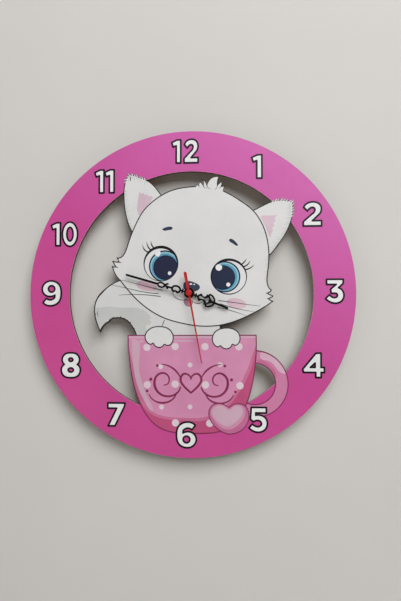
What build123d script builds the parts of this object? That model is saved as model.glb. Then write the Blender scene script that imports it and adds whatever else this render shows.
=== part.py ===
from build123d import *
import math
import os

# A wall clock: one flat plate cut as a ring with a kitten in a mug, on a battery quartz movement.
#
# X runs to the right seen from the front, Z up, and Y back towards the wall. The origin is on the
# hands' axis, in the plane of the wall. Flat parts are drawn in X and Z and given a depth, which
# is the distance in front of the wall, so a depth of d is at y = -d. Lengths are in millimetres.

# Dial plate
RING_OUTER = 175.0
RING_INNER = 131.3
PLATE_THICKNESS = 4.0
PLATE_HOLE = 4.0

# Stack between the wall and the tip of the hands
CASE_DEPTH = 16.0
RUBBER_THICKNESS = 1.0
WASHER_THICKNESS = 0.5
NUT_THICKNESS = 2.0
PLATE_BACK = CASE_DEPTH + RUBBER_THICKNESS
PLATE_FRONT = PLATE_BACK + PLATE_THICKNESS
NUT_BACK = PLATE_FRONT + WASHER_THICKNESS
BUSHING_END = NUT_BACK + NUT_THICKNESS + 1.0

# Hands: how far each reaches, where its plate starts, and the clock angle it rests at
HAND_THICKNESS = 0.5
HOUR_REACH, HOUR_DEPTH, HOUR_ANGLE = 44.6, 25.6, 111.7
MINUTE_REACH, MINUTE_DEPTH, MINUTE_ANGLE = 70.6, 28.2, 286.2
SECOND_REACH, SECOND_DEPTH, SECOND_ANGLE = 75.4, 30.9, 169.5
SECOND_THICKNESS = 0.3
SECOND_TAIL = 22.5
SECOND_HUB = 3.4
PRESS_GAP = 0.01

# Concentric tubes and shafts, as radii, each turning in the next
SECOND_SHAFT = 0.5
CANNON_BORE, CANNON_TUBE = 0.55, 1.55
HOUR_BORE, HOUR_TUBE = 1.61, 2.5
BUSHING_BORE, BUSHING_THREAD = 2.57, 3.5
THREAD_PITCH = 0.75

# Movement case
CASE_SIZE = 56.0
CASE_CORNER = 3.0
CASE_WALL = 1.2
COVER_THICKNESS = 1.2
FRONT_WALL = 14.8
BAY_FLOOR = 15.2
BAY_TOP = -11.2
DIVIDER_TOP = -10.2
POST_PLACES = [(-24.3, 24.3), (24.3, 24.3), (-24.3, -7.7), (24.3, -7.7)]
POST_RADIUS, PEG_RADIUS, PEG_LENGTH = 2.0, 1.0, 4.0
HANGER_HEIGHT, HANGER_HOLE, HANGER_THICKNESS = 34.0, 4.0, 2.0

# Battery (AA cell)
CELL_RADIUS, CELL_LENGTH = 7.1, 49.2
CELL_Z, CELL_DEPTH = -19.0, 7.8
CELL_CAP_RADIUS, CELL_CAP = 2.75, 1.2
CONTACT_THICKNESS = 0.3

# Gear train: tooth counts
SECOND_TEETH, SECOND_PINION = 60, 8
THIRD_TEETH, THIRD_PINION = 64, 8
CENTRE_TEETH = 60
FIFTH_TEETH, FIFTH_PINION = 48, 12
ROTOR_PINION = 8
CANNON_PINION, MOTION_TEETH = 12, 36
MOTION_PINION, HOUR_TEETH = 10, 40
KNOB_PINION = 12

# Distances between meshing arbors, and the direction from one to the next in degrees
MOTION_DISTANCE, MOTION_DIRECTION = 7.5, 190.0
KNOB_DISTANCE, KNOB_DIRECTION = 7.5, 190.0
THIRD_DISTANCE, THIRD_DIRECTION = 9.0, 10.0
FIFTH_DISTANCE, FIFTH_DIRECTION = 9.0, 110.0
ROTOR_DISTANCE, ROTOR_DIRECTION = 5.6, 150.0

# Teeth, as shares of the module and of the tooth pitch
ADDENDUM, DEDENDUM = 0.8, 1.15
ROOT_SHARE, PITCH_SHARE, TIP_SHARE = 0.60, 0.42, 0.20

# Depths of the wheels inside the case, each as where it starts and how thick it is
ROTOR_PINION_AT = (4.0, 1.5)
FIFTH_WHEEL_AT = (4.4, 0.8)
FIFTH_PINION_AT = (5.7, 1.3)
SECOND_WHEEL_AT = (6.0, 0.8)
SECOND_PINION_AT = (7.2, 1.2)
THIRD_WHEEL_AT = (7.4, 0.8)
THIRD_PINION_AT = (8.6, 1.6)
CENTRE_WHEEL_AT = (9.25, 0.75)
CANNON_PINION_AT = (12.0, 1.3)
MOTION_WHEEL_AT = (12.3, 0.8)
KNOB_PINION_AT = (12.1, 1.2)
MOTION_PINION_AT = (13.4, 1.2)
HOUR_WHEEL_AT = (13.6, 0.9)
MIDDLE_PLATE_AT = (10.6, 0.8)
ARBOR_RADIUS = 0.4
ARBOR_REAR = 2.0
ARBOR_HOLE = 0.45
KNOB_SHAFT = 0.9
KNOB_RADIUS = 5.5
KNOB_AT = (0.2, 2.0)
MAGNET_RADIUS, MAGNET_AT = 3.0, (6.4, 3.0)

# Motor coil and circuit
STATOR_AT = (7.2, 0.8)
CORE_AT = (6.4, 0.8)
CORE_Z, CORE_HEIGHT = 21.0, 3.6
STATOR_LEFT, STATOR_RIGHT = -21.0, 9.0
COIL_LEFT, COIL_RIGHT = -15.6, 3.6
COIL_RADIUS, FLANGE_SIZE, FLANGE_THICKNESS = 3.8, 8.4, 0.8
BOARD_LEFT, BOARD_RIGHT, BOARD_BOTTOM, BOARD_TOP = 11.5, 22.0, 10.5, 26.0
BOARD_AT = (4.0, 1.0)


def slab(shape, depth, thickness):
    """A flat shape drawn in X and Z, made solid from depth forwards."""
    return extrude(Plane.XZ.offset(depth) * shape, thickness)


def rod(radius, depth, length, x=0.0, z=0.0):
    """A cylinder along Y from depth forwards."""
    return slab(Pos(x, z) * Circle(radius), depth, length)


def tube(outer, inner, depth, length, x=0.0, z=0.0):
    """A hollow cylinder along Y from depth forwards."""
    return slab(Pos(x, z) * (Circle(outer) - Circle(inner)), depth, length)


def block(x_low, x_high, z_low, z_high, depth, thickness):
    """A box between two x and two z, from depth forwards."""
    middle = Pos((x_low + x_high) / 2, (z_low + z_high) / 2)
    return slab(middle * Rectangle(x_high - x_low, z_high - z_low), depth, thickness)


def outline(*runs):
    """A closed face. A run of points is one smooth curve that ends at the next run's first point,
    and runs meet at corners."""
    edges = []
    for run, following in zip(runs, runs[1:] + runs[:1]):
        points = [*run, following[0]]
        edges.append(Line(*points) if len(points) == 2 else Spline(*points))
    return make_face(edges)


def polygon(*points):
    """A closed face with straight sides."""
    return make_face(Polyline(*points, close=True))


def beside(start, distance, direction):
    """The point at a distance and a direction, in degrees, from another."""
    angle = math.radians(direction)
    return (start[0] + distance * math.cos(angle), start[1] + distance * math.sin(angle))


CENTRE = (0.0, 0.0)
MOTION_ARBOR = beside(CENTRE, MOTION_DISTANCE, MOTION_DIRECTION)
KNOB_ARBOR = beside(MOTION_ARBOR, KNOB_DISTANCE, KNOB_DIRECTION)
THIRD_ARBOR = beside(CENTRE, THIRD_DISTANCE, THIRD_DIRECTION)
FIFTH_ARBOR = beside(CENTRE, FIFTH_DISTANCE, FIFTH_DIRECTION)
ROTOR_ARBOR = beside(FIFTH_ARBOR, ROTOR_DISTANCE, ROTOR_DIRECTION)


# ---------------------------------------------------------------- dial plate


def head_shape():
    """The kitten's head, clockwise from the upper tuft on its left cheek."""
    return outline(
        [(-79.2, 38.9), (-74.6, 39.6), (-71.2, 43.5), (-68.2, 51), (-65, 60.5), (-58, 77), (-50, 90.2),
         (-40, 99.9), (-30, 106.7), (-15, 112.7), (0, 114.9)],
        [(7, 115.4)], [(7.5, 117.4)], [(9.6, 115.6)], [(10.6, 120), (12.6, 118.4)],
        [(14.6, 115.5), (14.9, 119.2)], [(12.8, 122.7), (16.4, 120.2)],
        [(18.6, 115.2), (20.4, 120.2), (24.2, 123.9), (28, 125.1)],
        [(31.5, 124.7), (30, 120.5)], [(29.8, 115.6), (31.8, 117.4)],
        [(34.2, 119.6), (34.6, 117)], [(33.6, 114.1)], [(37.3, 114.6)],
        [(36.2, 109.8), (45, 105.2), (55.5, 98.4), (68, 88.4), (75, 79), (80, 68.5), (83.2, 57), (84.7, 46),
         (84.8, 36), (83.8, 24), (82.9, 12), (84.4, 6.4)],
        [(87.4, 3.3)], [(86.6, 1.3)], [(83.4, -0.4)], [(88.5, -2.7)], [(88.6, -4.3)], [(84.4, -6.4)],
        [(89, -8.8), (80, -15.2), (70, -20.8), (59, -26.2), (45, -31.6), (31, -34.9), (17, -35.8), (4, -34.9),
         (-11, -32), (-26, -27.6), (-40, -20.6), (-55, -9.4), (-66, 2)],
        [(-76, 14.2), (-80.6, 19.5), (-83.2, 25)],
        [(-84.6, 29.5)], [(-80.8, 28.9), (-82.6, 31.8)], [(-84, 35.2)], [(-77.4, 34.2)],
    )


def left_ear_shape():
    return outline(
        [(-57, 62)],
        [(-62.8, 66), (-67.8, 77.5), (-70.6, 89), (-71.9, 101), (-72, 112), (-70.2, 122)],
        [(-66.4, 129.2), (-60, 127.9), (-52.5, 125.2), (-46, 122.4), (-39.5, 117.4), (-34, 111)],
        [(-30, 105.4)], [(-36, 92)],
    )


def right_ear_shape():
    return outline(
        [(62, 86)],
        [(67.6, 88.4), (77, 92.8), (87.5, 97.3), (98, 98.7)],
        [(109.4, 96.4), (110.2, 89), (107.6, 74.8), (101, 60.4), (93, 49), (84.2, 39.6)],
        [(76, 52)],
    )


def tail_and_body_shape():
    """The tail curls out from behind the left cheek, and the body joins head and mug."""
    return outline(
        [(-74, 15.2), (-84.6, 10.4), (-93, 4.2), (-99.6, -2.8), (-103.2, -11), (-104, -19.4), (-102.3, -29),
         (-99.4, -37)],
        [(-97, -42.4), (-94.4, -36.8), (-90.8, -32.8)],
        [(-87.2, -31), (-85, -28.2), (-79.4, -26.8), (-73, -27.2), (-68, -29.6), (-63.4, -34.6), (-60, -40)],
        [(-57.6, -47)], [(31.6, -47)], [(32.4, -37.8)], [(31, -30)], [(-50, 10)],
    )


def mug_shape():
    return outline(
        [(-67, -44.8)],
        [(71.1, -44.2), (71.3, -60), (70, -78), (67.2, -95), (62.4, -113), (55.6, -127.4), (45.8, -139.4),
         (34, -146.2), (18, -149), (-2, -149.3), (-20, -148), (-33.6, -143), (-45.4, -132), (-54.4, -116),
         (-60.6, -98), (-64.6, -76), (-66.5, -58)],
    )


def dial_plate():
    """One board: ring, kitten and mug in one outline, with the gaps between them cut through."""
    shape = Circle(RING_OUTER) - Circle(RING_INNER)
    shape += head_shape()
    shape += left_ear_shape()
    shape += right_ear_shape()
    shape += tail_and_body_shape()
    shape += mug_shape()
    shape += Pos(39.2, -48) * Ellipse(15.1, 11.4)
    shape += Pos(-32.5, -46.5) * Ellipse(15.7, 11.3)
    shape += Pos(69, -96) * (Circle(35.4) - Circle(21.3))
    shape -= Circle(PLATE_HOLE)
    return slab(shape, PLATE_BACK, PLATE_THICKNESS)


# ---------------------------------------------------------------- fixing through the plate


def threaded_bushing():
    """A brass tube with annular thread ridges, pressed into the front of the case."""
    core = BUSHING_THREAD - 0.35
    bushing = rod(core, FRONT_WALL, BUSHING_END - FRONT_WALL) + rod(6.0, FRONT_WALL + 0.6, 0.6)
    ridges = int((BUSHING_END - CASE_DEPTH) / THREAD_PITCH)
    for turn in range(ridges):
        middle = CASE_DEPTH + (turn + 0.5) * THREAD_PITCH
        ridge = Pos(0, -middle, 0) * Rot(90, 0, 0) * (
            Cylinder(core, THREAD_PITCH * 0.9) + Cylinder(BUSHING_THREAD, THREAD_PITCH * 0.3)
        )
        bushing += ridge
    return bushing - rod(BUSHING_BORE, 0, HOUR_DEPTH)


def rubber_washer():
    return tube(9.5, 4.2, CASE_DEPTH, RUBBER_THICKNESS)


def brass_washer():
    return tube(5.5, 3.9, PLATE_FRONT, WASHER_THICKNESS)


def hex_nut():
    """A thin nut, its corners rounded off at the front and back."""
    flat = Plane.XZ.offset(NUT_BACK) * RegularPolygon(5.0, 6, major_radius=False)
    nut = extrude(flat, NUT_THICKNESS) & rod(5.55, NUT_BACK, NUT_THICKNESS)
    return nut - rod(BUSHING_THREAD, 0, 2 * NUT_BACK)


# ---------------------------------------------------------------- hands


def pointing(shape, angle, depth, thickness=HAND_THICKNESS):
    """A hand drawn pointing up, turned clockwise by its clock angle and made solid."""
    return slab(Rot(0, 0, -angle) * shape, depth, thickness)


def spear(start, end, root_width, tip_width):
    """A blade along the hand with a rounded tip."""
    tip = tip_width / 2
    root = root_width / 2
    blade = polygon((-root, start), (root, start), (tip, end - tip), (-tip, end - tip))
    return blade + Pos(0, end - tip) * Circle(tip)


def cross_bar(height, width, thickness=1.1):
    return Pos(0, height) * Rectangle(width, thickness)


def hour_hand():
    """Serpentine hand: a pinched bell with spiked corners, two leaning petals and a short spear."""
    half_bell = outline(
        [(0, 8.2)], [(4.2, 12.0)],
        [(4.1, 13.2), (2.6, 14.8), (2.3, 16.3), (3.1, 17.4)],
        [(5.9, 18.0)], [(5.6, 21.2)],
        [(2.6, 20.5), (1.0, 18.6), (0.6, 16.2), (1.3, 13.2)],
        [(0, 11.0)],
    )
    petal = Ellipse(3.0, 5.5) - Ellipse(1.05, 3.4)
    shape = Circle(5.6) + Pos(0, 6.8) * Rectangle(2.1, 5.0) + cross_bar(7.5, 5.0, 1.7)
    shape += half_bell + mirror(half_bell, about=Plane.YZ)
    shape += Pos(3.35, 24.6) * Rot(0, 0, 38) * petal
    shape += Pos(-3.35, 24.6) * Rot(0, 0, -38) * petal
    shape += polygon((0, 21.6), (1.9, 23.2), (0, 26.6), (-1.9, 23.2))
    shape += spear(28.4, HOUR_REACH, 2.4, 2.3)
    bore = HOUR_TUBE + PRESS_GAP
    hand = pointing(shape - Circle(bore), HOUR_ANGLE, HOUR_DEPTH)
    return hand + tube(3.5, bore, HOUR_DEPTH - 0.8, 0.8)


def minute_hand():
    """Serpentine hand: a kidney-shaped loop, an oval eye with a spur and a long spear."""
    kidney = Ellipse(4.4, 5.5) - Pos(-4.8, 0.2) * Circle(1.7)
    kidney -= Ellipse(2.3, 3.4) - Pos(-4.8, 0.2) * Circle(3.7)
    shape = Circle(5.4) + Pos(0, 7.2) * Rectangle(2.0, 6.0) + cross_bar(7.2, 5.2, 1.7)
    shape += Pos(0, 14.2) * kidney
    shape += Pos(0, 23.0) * Rectangle(2.1, 9.4)
    shape += polygon((0, 22.0), (0, 25.2), (-2.5, 24.6), (-2.5, 22.8))
    shape += polygon((0.2, 26.8), (1.6, 28.4), (4.2, 24.2), (2.5, 23.0))
    shape += Pos(0, 30.9) * (Ellipse(3.3, 4.5) - Ellipse(1.4, 2.6))
    shape += spear(34.6, MINUTE_REACH, 2.4, 2.3)
    bore = CANNON_TUBE + PRESS_GAP
    hand = pointing(shape - Circle(bore), MINUTE_ANGLE, MINUTE_DEPTH)
    return hand + tube(2.6, bore, MINUTE_DEPTH - 0.8, 0.8)


def second_hand():
    """A needle with a straight counterweight tail and a pressed collet."""
    needle = spear(0, SECOND_REACH, 2.1, 0.9)
    tail = Rot(0, 0, 180) * spear(0, SECOND_TAIL, 2.4, 3.4)
    bore = SECOND_SHAFT + PRESS_GAP
    shape = needle + tail + Circle(2.6) - Circle(bore)
    hand = pointing(shape, SECOND_ANGLE, SECOND_DEPTH, SECOND_THICKNESS)
    return hand + tube(1.1, bore, SECOND_DEPTH - 1.0, 1.0)


def second_hand_hub():
    """The round boss over the hand's centre, with a domed front."""
    back = SECOND_DEPTH + SECOND_THICKNESS
    hub = rod(SECOND_HUB, back, 1.6)
    front_rim = hub.faces().sort_by(Axis.Y)[0].edges()
    hub = fillet(front_rim, 1.0)
    return hub - rod(SECOND_SHAFT + PRESS_GAP, 0, back + 1.0)


# ---------------------------------------------------------------- gear train


def gear_shape(teeth, module, turn):
    """A toothed disc with straight-flanked teeth. One tooth points at the angle turn, in degrees."""
    pitch = 360.0 / teeth
    root = module * (teeth / 2 - DEDENDUM)
    pitch_radius = module * teeth / 2
    tip = module * (teeth / 2 + ADDENDUM)
    corners = []
    for tooth in range(teeth):
        middle = turn + tooth * pitch
        flank = [(root, ROOT_SHARE), (pitch_radius, PITCH_SHARE), (tip, TIP_SHARE)]
        for radius, share in flank:
            corners.append(beside(CENTRE, radius, middle - share * pitch / 2))
        for radius, share in reversed(flank):
            corners.append(beside(CENTRE, radius, middle + share * pitch / 2))
    return polygon(*corners)


def mesh_turn(teeth, other_teeth, other_turn, direction):
    """The turn that puts a tooth gap where the other wheel has a tooth. direction is the angle
    from the other wheel's arbor to this one's."""
    tooth_at_contact = (direction - other_turn) * other_teeth / 360.0
    return direction + 180.0 - (0.5 - tooth_at_contact) * 360.0 / teeth


def gear(teeth, module, place, level, turn=0.0, bore=0.0):
    """A gear at an arbor's place, at a level given as its depth and thickness."""
    shape = gear_shape(teeth, module, turn)
    if bore:
        shape -= Circle(bore)
    return slab(Pos(*place) * shape, *level)


MOTION_MODULE = 2 * MOTION_DISTANCE / (CANNON_PINION + MOTION_TEETH)
HOUR_MODULE = 2 * MOTION_DISTANCE / (MOTION_PINION + HOUR_TEETH)
THIRD_MODULE = 2 * THIRD_DISTANCE / (SECOND_PINION + THIRD_TEETH)
CENTRE_MODULE = 2 * THIRD_DISTANCE / (THIRD_PINION + CENTRE_TEETH)
SECOND_MODULE = 2 * FIFTH_DISTANCE / (SECOND_TEETH + FIFTH_PINION)
FIFTH_MODULE = 2 * ROTOR_DISTANCE / (FIFTH_TEETH + ROTOR_PINION)


def hour_wheel():
    wheel = gear(HOUR_TEETH, HOUR_MODULE, CENTRE, HOUR_WHEEL_AT, bore=HOUR_BORE)
    start = HOUR_WHEEL_AT[0]
    return wheel + tube(HOUR_TUBE, HOUR_BORE, start, HOUR_DEPTH + 1.0 - start)


def minute_cannon():
    """The tube that carries the minute hand, with its pinion and the shoulder of the clutch."""
    start = CENTRE_WHEEL_AT[0] - 0.55
    cannon = tube(CANNON_TUBE, CANNON_BORE, start, MINUTE_DEPTH + 1.1 - start)
    cannon += gear(CANNON_PINION, MOTION_MODULE, CENTRE, CANNON_PINION_AT, bore=CANNON_BORE)
    wheel_front = sum(CENTRE_WHEEL_AT)
    return cannon + tube(2.3, CANNON_BORE, wheel_front + 0.05, 0.45)


def clutch_spring():
    """A dished washer behind the centre wheel, with three spokes' worth of slots."""
    spring = Circle(3.4) - Circle(CANNON_TUBE)
    for slot in range(3):
        spring -= Rot(0, 0, 120 * slot) * Pos(2.7, 0) * Rectangle(0.7, 1.6)
    return slab(spring, CENTRE_WHEEL_AT[0] - 0.35, 0.3)


def centre_drive_wheel():
    turn = mesh_turn(CENTRE_TEETH, THIRD_PINION, 0.0, THIRD_DIRECTION + 180.0)
    wheel = gear(CENTRE_TEETH, CENTRE_MODULE, CENTRE, CENTRE_WHEEL_AT, turn, CANNON_TUBE + 0.04)
    for spoke in range(4):
        angle = 45.0 + 90.0 * spoke
        window = Pos(*beside(CENTRE, 5.3, angle)) * Circle(1.3)
        wheel -= slab(window, *CENTRE_WHEEL_AT)
    return wheel


def second_wheel():
    """The seconds wheel and pinion on the long shaft that carries the seconds hand."""
    wheel = gear(SECOND_TEETH, SECOND_MODULE, CENTRE, SECOND_WHEEL_AT)
    turn = mesh_turn(SECOND_PINION, THIRD_TEETH, 0.0, THIRD_DIRECTION + 180.0)
    wheel += gear(SECOND_PINION, THIRD_MODULE, CENTRE, SECOND_PINION_AT, turn)
    boss_end = SECOND_PINION_AT[0]
    wheel += rod(1.2, SECOND_WHEEL_AT[0], boss_end - SECOND_WHEEL_AT[0])
    front = SECOND_DEPTH + SECOND_THICKNESS + 1.0
    wheel += rod(SECOND_SHAFT, SECOND_WHEEL_AT[0], front - SECOND_WHEEL_AT[0])
    return wheel + rod(ARBOR_RADIUS, ARBOR_REAR, SECOND_WHEEL_AT[0] - ARBOR_REAR)


def arbor(place, front):
    """A thin steel-like axle moulded with its wheel."""
    return rod(ARBOR_RADIUS, ARBOR_REAR, front - ARBOR_REAR, *place)


def hub_between(place, rear_level, front_level, radius=0.9):
    """The moulded hub that joins a wheel to its pinion."""
    return rod(radius, rear_level[0], front_level[0] - rear_level[0], *place)


def third_wheel():
    wheel = gear(THIRD_TEETH, THIRD_MODULE, THIRD_ARBOR, THIRD_WHEEL_AT)
    wheel += gear(THIRD_PINION, CENTRE_MODULE, THIRD_ARBOR, THIRD_PINION_AT)
    wheel += hub_between(THIRD_ARBOR, THIRD_WHEEL_AT, THIRD_PINION_AT)
    return wheel + arbor(THIRD_ARBOR, sum(MIDDLE_PLATE_AT) - 0.2)


FIFTH_PINION_TURN = mesh_turn(FIFTH_PINION, SECOND_TEETH, 0.0, FIFTH_DIRECTION)


def fifth_wheel():
    wheel = gear(FIFTH_TEETH, FIFTH_MODULE, FIFTH_ARBOR, FIFTH_WHEEL_AT)
    wheel += gear(FIFTH_PINION, SECOND_MODULE, FIFTH_ARBOR, FIFTH_PINION_AT, FIFTH_PINION_TURN)
    wheel += hub_between(FIFTH_ARBOR, FIFTH_WHEEL_AT, FIFTH_PINION_AT)
    return wheel + arbor(FIFTH_ARBOR, sum(MIDDLE_PLATE_AT) - 0.2)


def rotor_shaft():
    turn = mesh_turn(ROTOR_PINION, FIFTH_TEETH, 0.0, ROTOR_DIRECTION)
    shaft = gear(ROTOR_PINION, FIFTH_MODULE, ROTOR_ARBOR, ROTOR_PINION_AT, turn)
    shaft += rod(0.8, sum(ROTOR_PINION_AT), MAGNET_AT[0] - sum(ROTOR_PINION_AT), *ROTOR_ARBOR)
    return shaft + arbor(ROTOR_ARBOR, sum(MIDDLE_PLATE_AT) - 0.2)


def rotor_magnet():
    return tube(MAGNET_RADIUS, ARBOR_RADIUS, *MAGNET_AT, *ROTOR_ARBOR)


MOTION_TURN = mesh_turn(MOTION_TEETH, CANNON_PINION, 0.0, MOTION_DIRECTION)


def motion_wheel():
    """The intermediate wheel that slows the minute cannon down to the hour wheel."""
    wheel = gear(MOTION_TEETH, MOTION_MODULE, MOTION_ARBOR, MOTION_WHEEL_AT, MOTION_TURN)
    turn = mesh_turn(MOTION_PINION, HOUR_TEETH, 0.0, MOTION_DIRECTION)
    wheel += gear(MOTION_PINION, HOUR_MODULE, MOTION_ARBOR, MOTION_PINION_AT, turn)
    wheel += hub_between(MOTION_ARBOR, MOTION_WHEEL_AT, MOTION_PINION_AT)
    rear = MIDDLE_PLATE_AT[0] + 0.2
    return wheel + rod(ARBOR_RADIUS, rear, FRONT_WALL + 0.4 - rear, *MOTION_ARBOR)


def setting_knob():
    """A fluted knob at the back, on a shaft whose pinion turns the motion wheel."""
    turn = mesh_turn(KNOB_PINION, MOTION_TEETH, MOTION_TURN, KNOB_DIRECTION)
    knob = gear(KNOB_PINION, MOTION_MODULE, KNOB_ARBOR, KNOB_PINION_AT, turn)
    shape = Circle(KNOB_RADIUS)
    flutes = 24
    for flute in range(flutes):
        shape -= Pos(*beside(CENTRE, KNOB_RADIUS + 0.15, flute * 360.0 / flutes)) * Circle(0.4)
    knob += slab(Pos(*KNOB_ARBOR) * shape, *KNOB_AT)
    knob += rod(KNOB_SHAFT, KNOB_AT[0], KNOB_PINION_AT[0] - KNOB_AT[0], *KNOB_ARBOR)
    return knob + rod(ARBOR_RADIUS, KNOB_PINION_AT[0], FRONT_WALL + 0.4 - KNOB_PINION_AT[0], *KNOB_ARBOR)


# ---------------------------------------------------------------- movement case


def case_front():
    """The case's front shell: dial side, four walls, battery bay and the hanger tab."""
    half = CASE_SIZE / 2
    inner = half - CASE_WALL
    rear = COVER_THICKNESS
    case = slab(RectangleRounded(CASE_SIZE, CASE_SIZE, CASE_CORNER), 0, CASE_DEPTH)
    case -= block(-inner, inner, DIVIDER_TOP, inner, 0, FRONT_WALL)
    case -= block(-inner, inner, -inner, BAY_TOP, 0, BAY_FLOOR)
    case -= block(-half, half, BAY_TOP, half, 0, rear)
    slot = 0.6
    for side in (1, -1):
        low, high = sorted((side * (inner - slot), side * inner))
        case -= block(low, high, BAY_TOP, DIVIDER_TOP, 0, 8.0)
    for x, z in POST_PLACES:
        case += rod(POST_RADIUS, rear, FRONT_WALL - rear, x, z)
        case -= rod(PEG_RADIUS + 0.03, rear, PEG_LENGTH + 0.3, x, z)
    case -= rod(BUSHING_THREAD - 0.35, FRONT_WALL, CASE_DEPTH - FRONT_WALL)
    case -= rod(6.0, FRONT_WALL + 0.6, 0.6)
    for place in (MOTION_ARBOR, KNOB_ARBOR):
        case -= rod(ARBOR_HOLE, FRONT_WALL, 0.6, *place)
    tab = Pos(0, HANGER_HEIGHT) * Circle(7.0) + Pos(0, 30.5) * Rectangle(14.0, 7.0)
    tab -= Pos(0, HANGER_HEIGHT) * Circle(HANGER_HOLE)
    return case + slab(tab, rear, HANGER_THICKNESS)


def case_back_cover():
    """The flat cover towards the wall, with pivot bosses, corner pegs and the knob's hole."""
    half = CASE_SIZE / 2
    shape = RectangleRounded(CASE_SIZE, CASE_SIZE, CASE_CORNER)
    shape &= Pos(0, (half + BAY_TOP) / 2) * Rectangle(CASE_SIZE, half - BAY_TOP)
    shape -= Pos(*KNOB_ARBOR) * Circle(KNOB_RADIUS + 0.3)
    cover = slab(shape, 0, COVER_THICKNESS)
    for place in (CENTRE, THIRD_ARBOR, FIFTH_ARBOR, ROTOR_ARBOR):
        cover += tube(1.4, ARBOR_HOLE, COVER_THICKNESS, 2.0, *place)
    for x, z in POST_PLACES:
        cover += rod(PEG_RADIUS, COVER_THICKNESS, PEG_LENGTH, x, z)
    return cover


def middle_plate():
    """The plate between the hands' gearing and the running train, with a hole for each arbor."""
    shape = Pos(0.5, 3.4) * Rectangle(35.0, 25.2)
    shape -= Circle(CANNON_TUBE + 0.06)
    for place in (THIRD_ARBOR, FIFTH_ARBOR, ROTOR_ARBOR, MOTION_ARBOR):
        shape -= Pos(*place) * Circle(ARBOR_HOLE)
    shape -= Pos(*KNOB_ARBOR) * Circle(KNOB_SHAFT + 0.06)
    plate = slab(shape, *MIDDLE_PLATE_AT)
    foot_start = sum(MIDDLE_PLATE_AT)
    for x in (-15.0, 16.0):
        for z in (-7.2, 14.0):
            plate += rod(1.0, foot_start, FRONT_WALL - foot_start, x, z)
    return plate


# ---------------------------------------------------------------- motor and circuit


def stator():
    """A flat iron frame with a round seat for the rotor and a leg up each side of the coil."""
    shape = Pos((STATOR_LEFT + STATOR_RIGHT) / 2, 12.2) * Rectangle(STATOR_RIGHT - STATOR_LEFT, 3.8)
    top = CORE_Z + CORE_HEIGHT / 2
    for x in (STATOR_LEFT + 2.2, STATOR_RIGHT - 2.2):
        shape += Pos(x, (top + 10.3) / 2) * Rectangle(4.4, top - 10.3)
    shape += Pos(*ROTOR_ARBOR) * Circle(4.9)
    shape -= Pos(*ROTOR_ARBOR) * Circle(3.6)
    return slab(shape, *STATOR_AT)


def coil_core():
    low, high = CORE_Z - CORE_HEIGHT / 2, CORE_Z + CORE_HEIGHT / 2
    return block(STATOR_LEFT, STATOR_RIGHT, low, high, *CORE_AT)


def along_x(shape, start, length):
    """A shape drawn in Y and Z about the coil's axis, made solid from x = start."""
    depth = CORE_AT[0] + CORE_AT[1] / 2
    plane = Plane(origin=(start, -depth, CORE_Z), x_dir=(0, 1, 0), z_dir=(1, 0, 0))
    return extrude(plane * shape, length)


def coil_bobbin():
    """A spool with square flanges, moulded around the core."""
    length = COIL_RIGHT - COIL_LEFT
    spool = along_x(Rectangle(2.2, CORE_HEIGHT + 1.2), COIL_LEFT, length)
    flange = RectangleRounded(FLANGE_SIZE, FLANGE_SIZE, 0.8)
    for start in (COIL_LEFT, COIL_RIGHT - FLANGE_THICKNESS):
        spool += along_x(flange, start, FLANGE_THICKNESS)
    return spool - along_x(Rectangle(CORE_AT[1], CORE_HEIGHT), COIL_LEFT, length)


def coil_winding():
    start = COIL_LEFT + FLANGE_THICKNESS
    length = COIL_RIGHT - COIL_LEFT - 2 * FLANGE_THICKNESS
    winding = along_x(Circle(COIL_RADIUS), start, length)
    return winding - along_x(Rectangle(2.2, CORE_HEIGHT + 1.2), start, length)


def circuit_board():
    board = block(BOARD_LEFT, BOARD_RIGHT, BOARD_BOTTOM, BOARD_TOP, *BOARD_AT)
    for x, z in ((13.0, 24.6), (20.6, 24.6)):
        board -= rod(0.5, *BOARD_AT, x, z)
    return board


def quartz_crystal():
    """A small can lying along the board, with its two leads."""
    depth = sum(BOARD_AT) + 1.15
    can = Pos(19.6, -depth, 20.0) * Cylinder(1.0, 6.0)
    can = can + Pos(19.6, -depth, 23.15) * Cylinder(1.12, 0.3)
    for side in (-0.45, 0.45):
        can += Pos(19.6 + side, -depth, 16.3) * Cylinder(0.15, 1.6)
    return can


def chip():
    """The bare chip's drop of resin, a shallow dome."""
    front = sum(BOARD_AT)
    radius, height = 2.4, 0.9
    sphere_radius = (radius * radius + height * height) / (2 * height)
    dome = Pos(15.0, -(front + height - sphere_radius), 18.0) * Sphere(sphere_radius)
    return dome & rod(radius + 1, front, height + 1, 15.0, 18.0)


# ---------------------------------------------------------------- battery and contacts


def cell_x(radius, start, length):
    """A cylinder along X on the battery's axis."""
    plane = Plane(origin=(start, -CELL_DEPTH, CELL_Z), x_dir=(0, 1, 0), z_dir=(1, 0, 0))
    return extrude(plane * Circle(radius), length)


CELL_START = -24.4


def battery_body():
    """The cell's can, with a rolled rim at each end."""
    body = cell_x(CELL_RADIUS, CELL_START, CELL_LENGTH)
    rims = body.edges().filter_by(GeomType.CIRCLE)
    return fillet(rims, 0.5)


def battery_cap():
    cap = cell_x(CELL_CAP_RADIUS, CELL_START + CELL_LENGTH, CELL_CAP)
    return fillet(cap.edges().filter_by(GeomType.CIRCLE).sort_by(Axis.X)[-1], 0.4)


def dimple(start, length, root, tip):
    """A hollow-looking bump on a contact, as a short cone along X."""
    plane = Plane(origin=(start, -CELL_DEPTH, CELL_Z), x_dir=(0, 1, 0), z_dir=(1, 0, 0))
    return loft([plane * Circle(root), plane.offset(length) * Circle(tip)])


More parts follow.
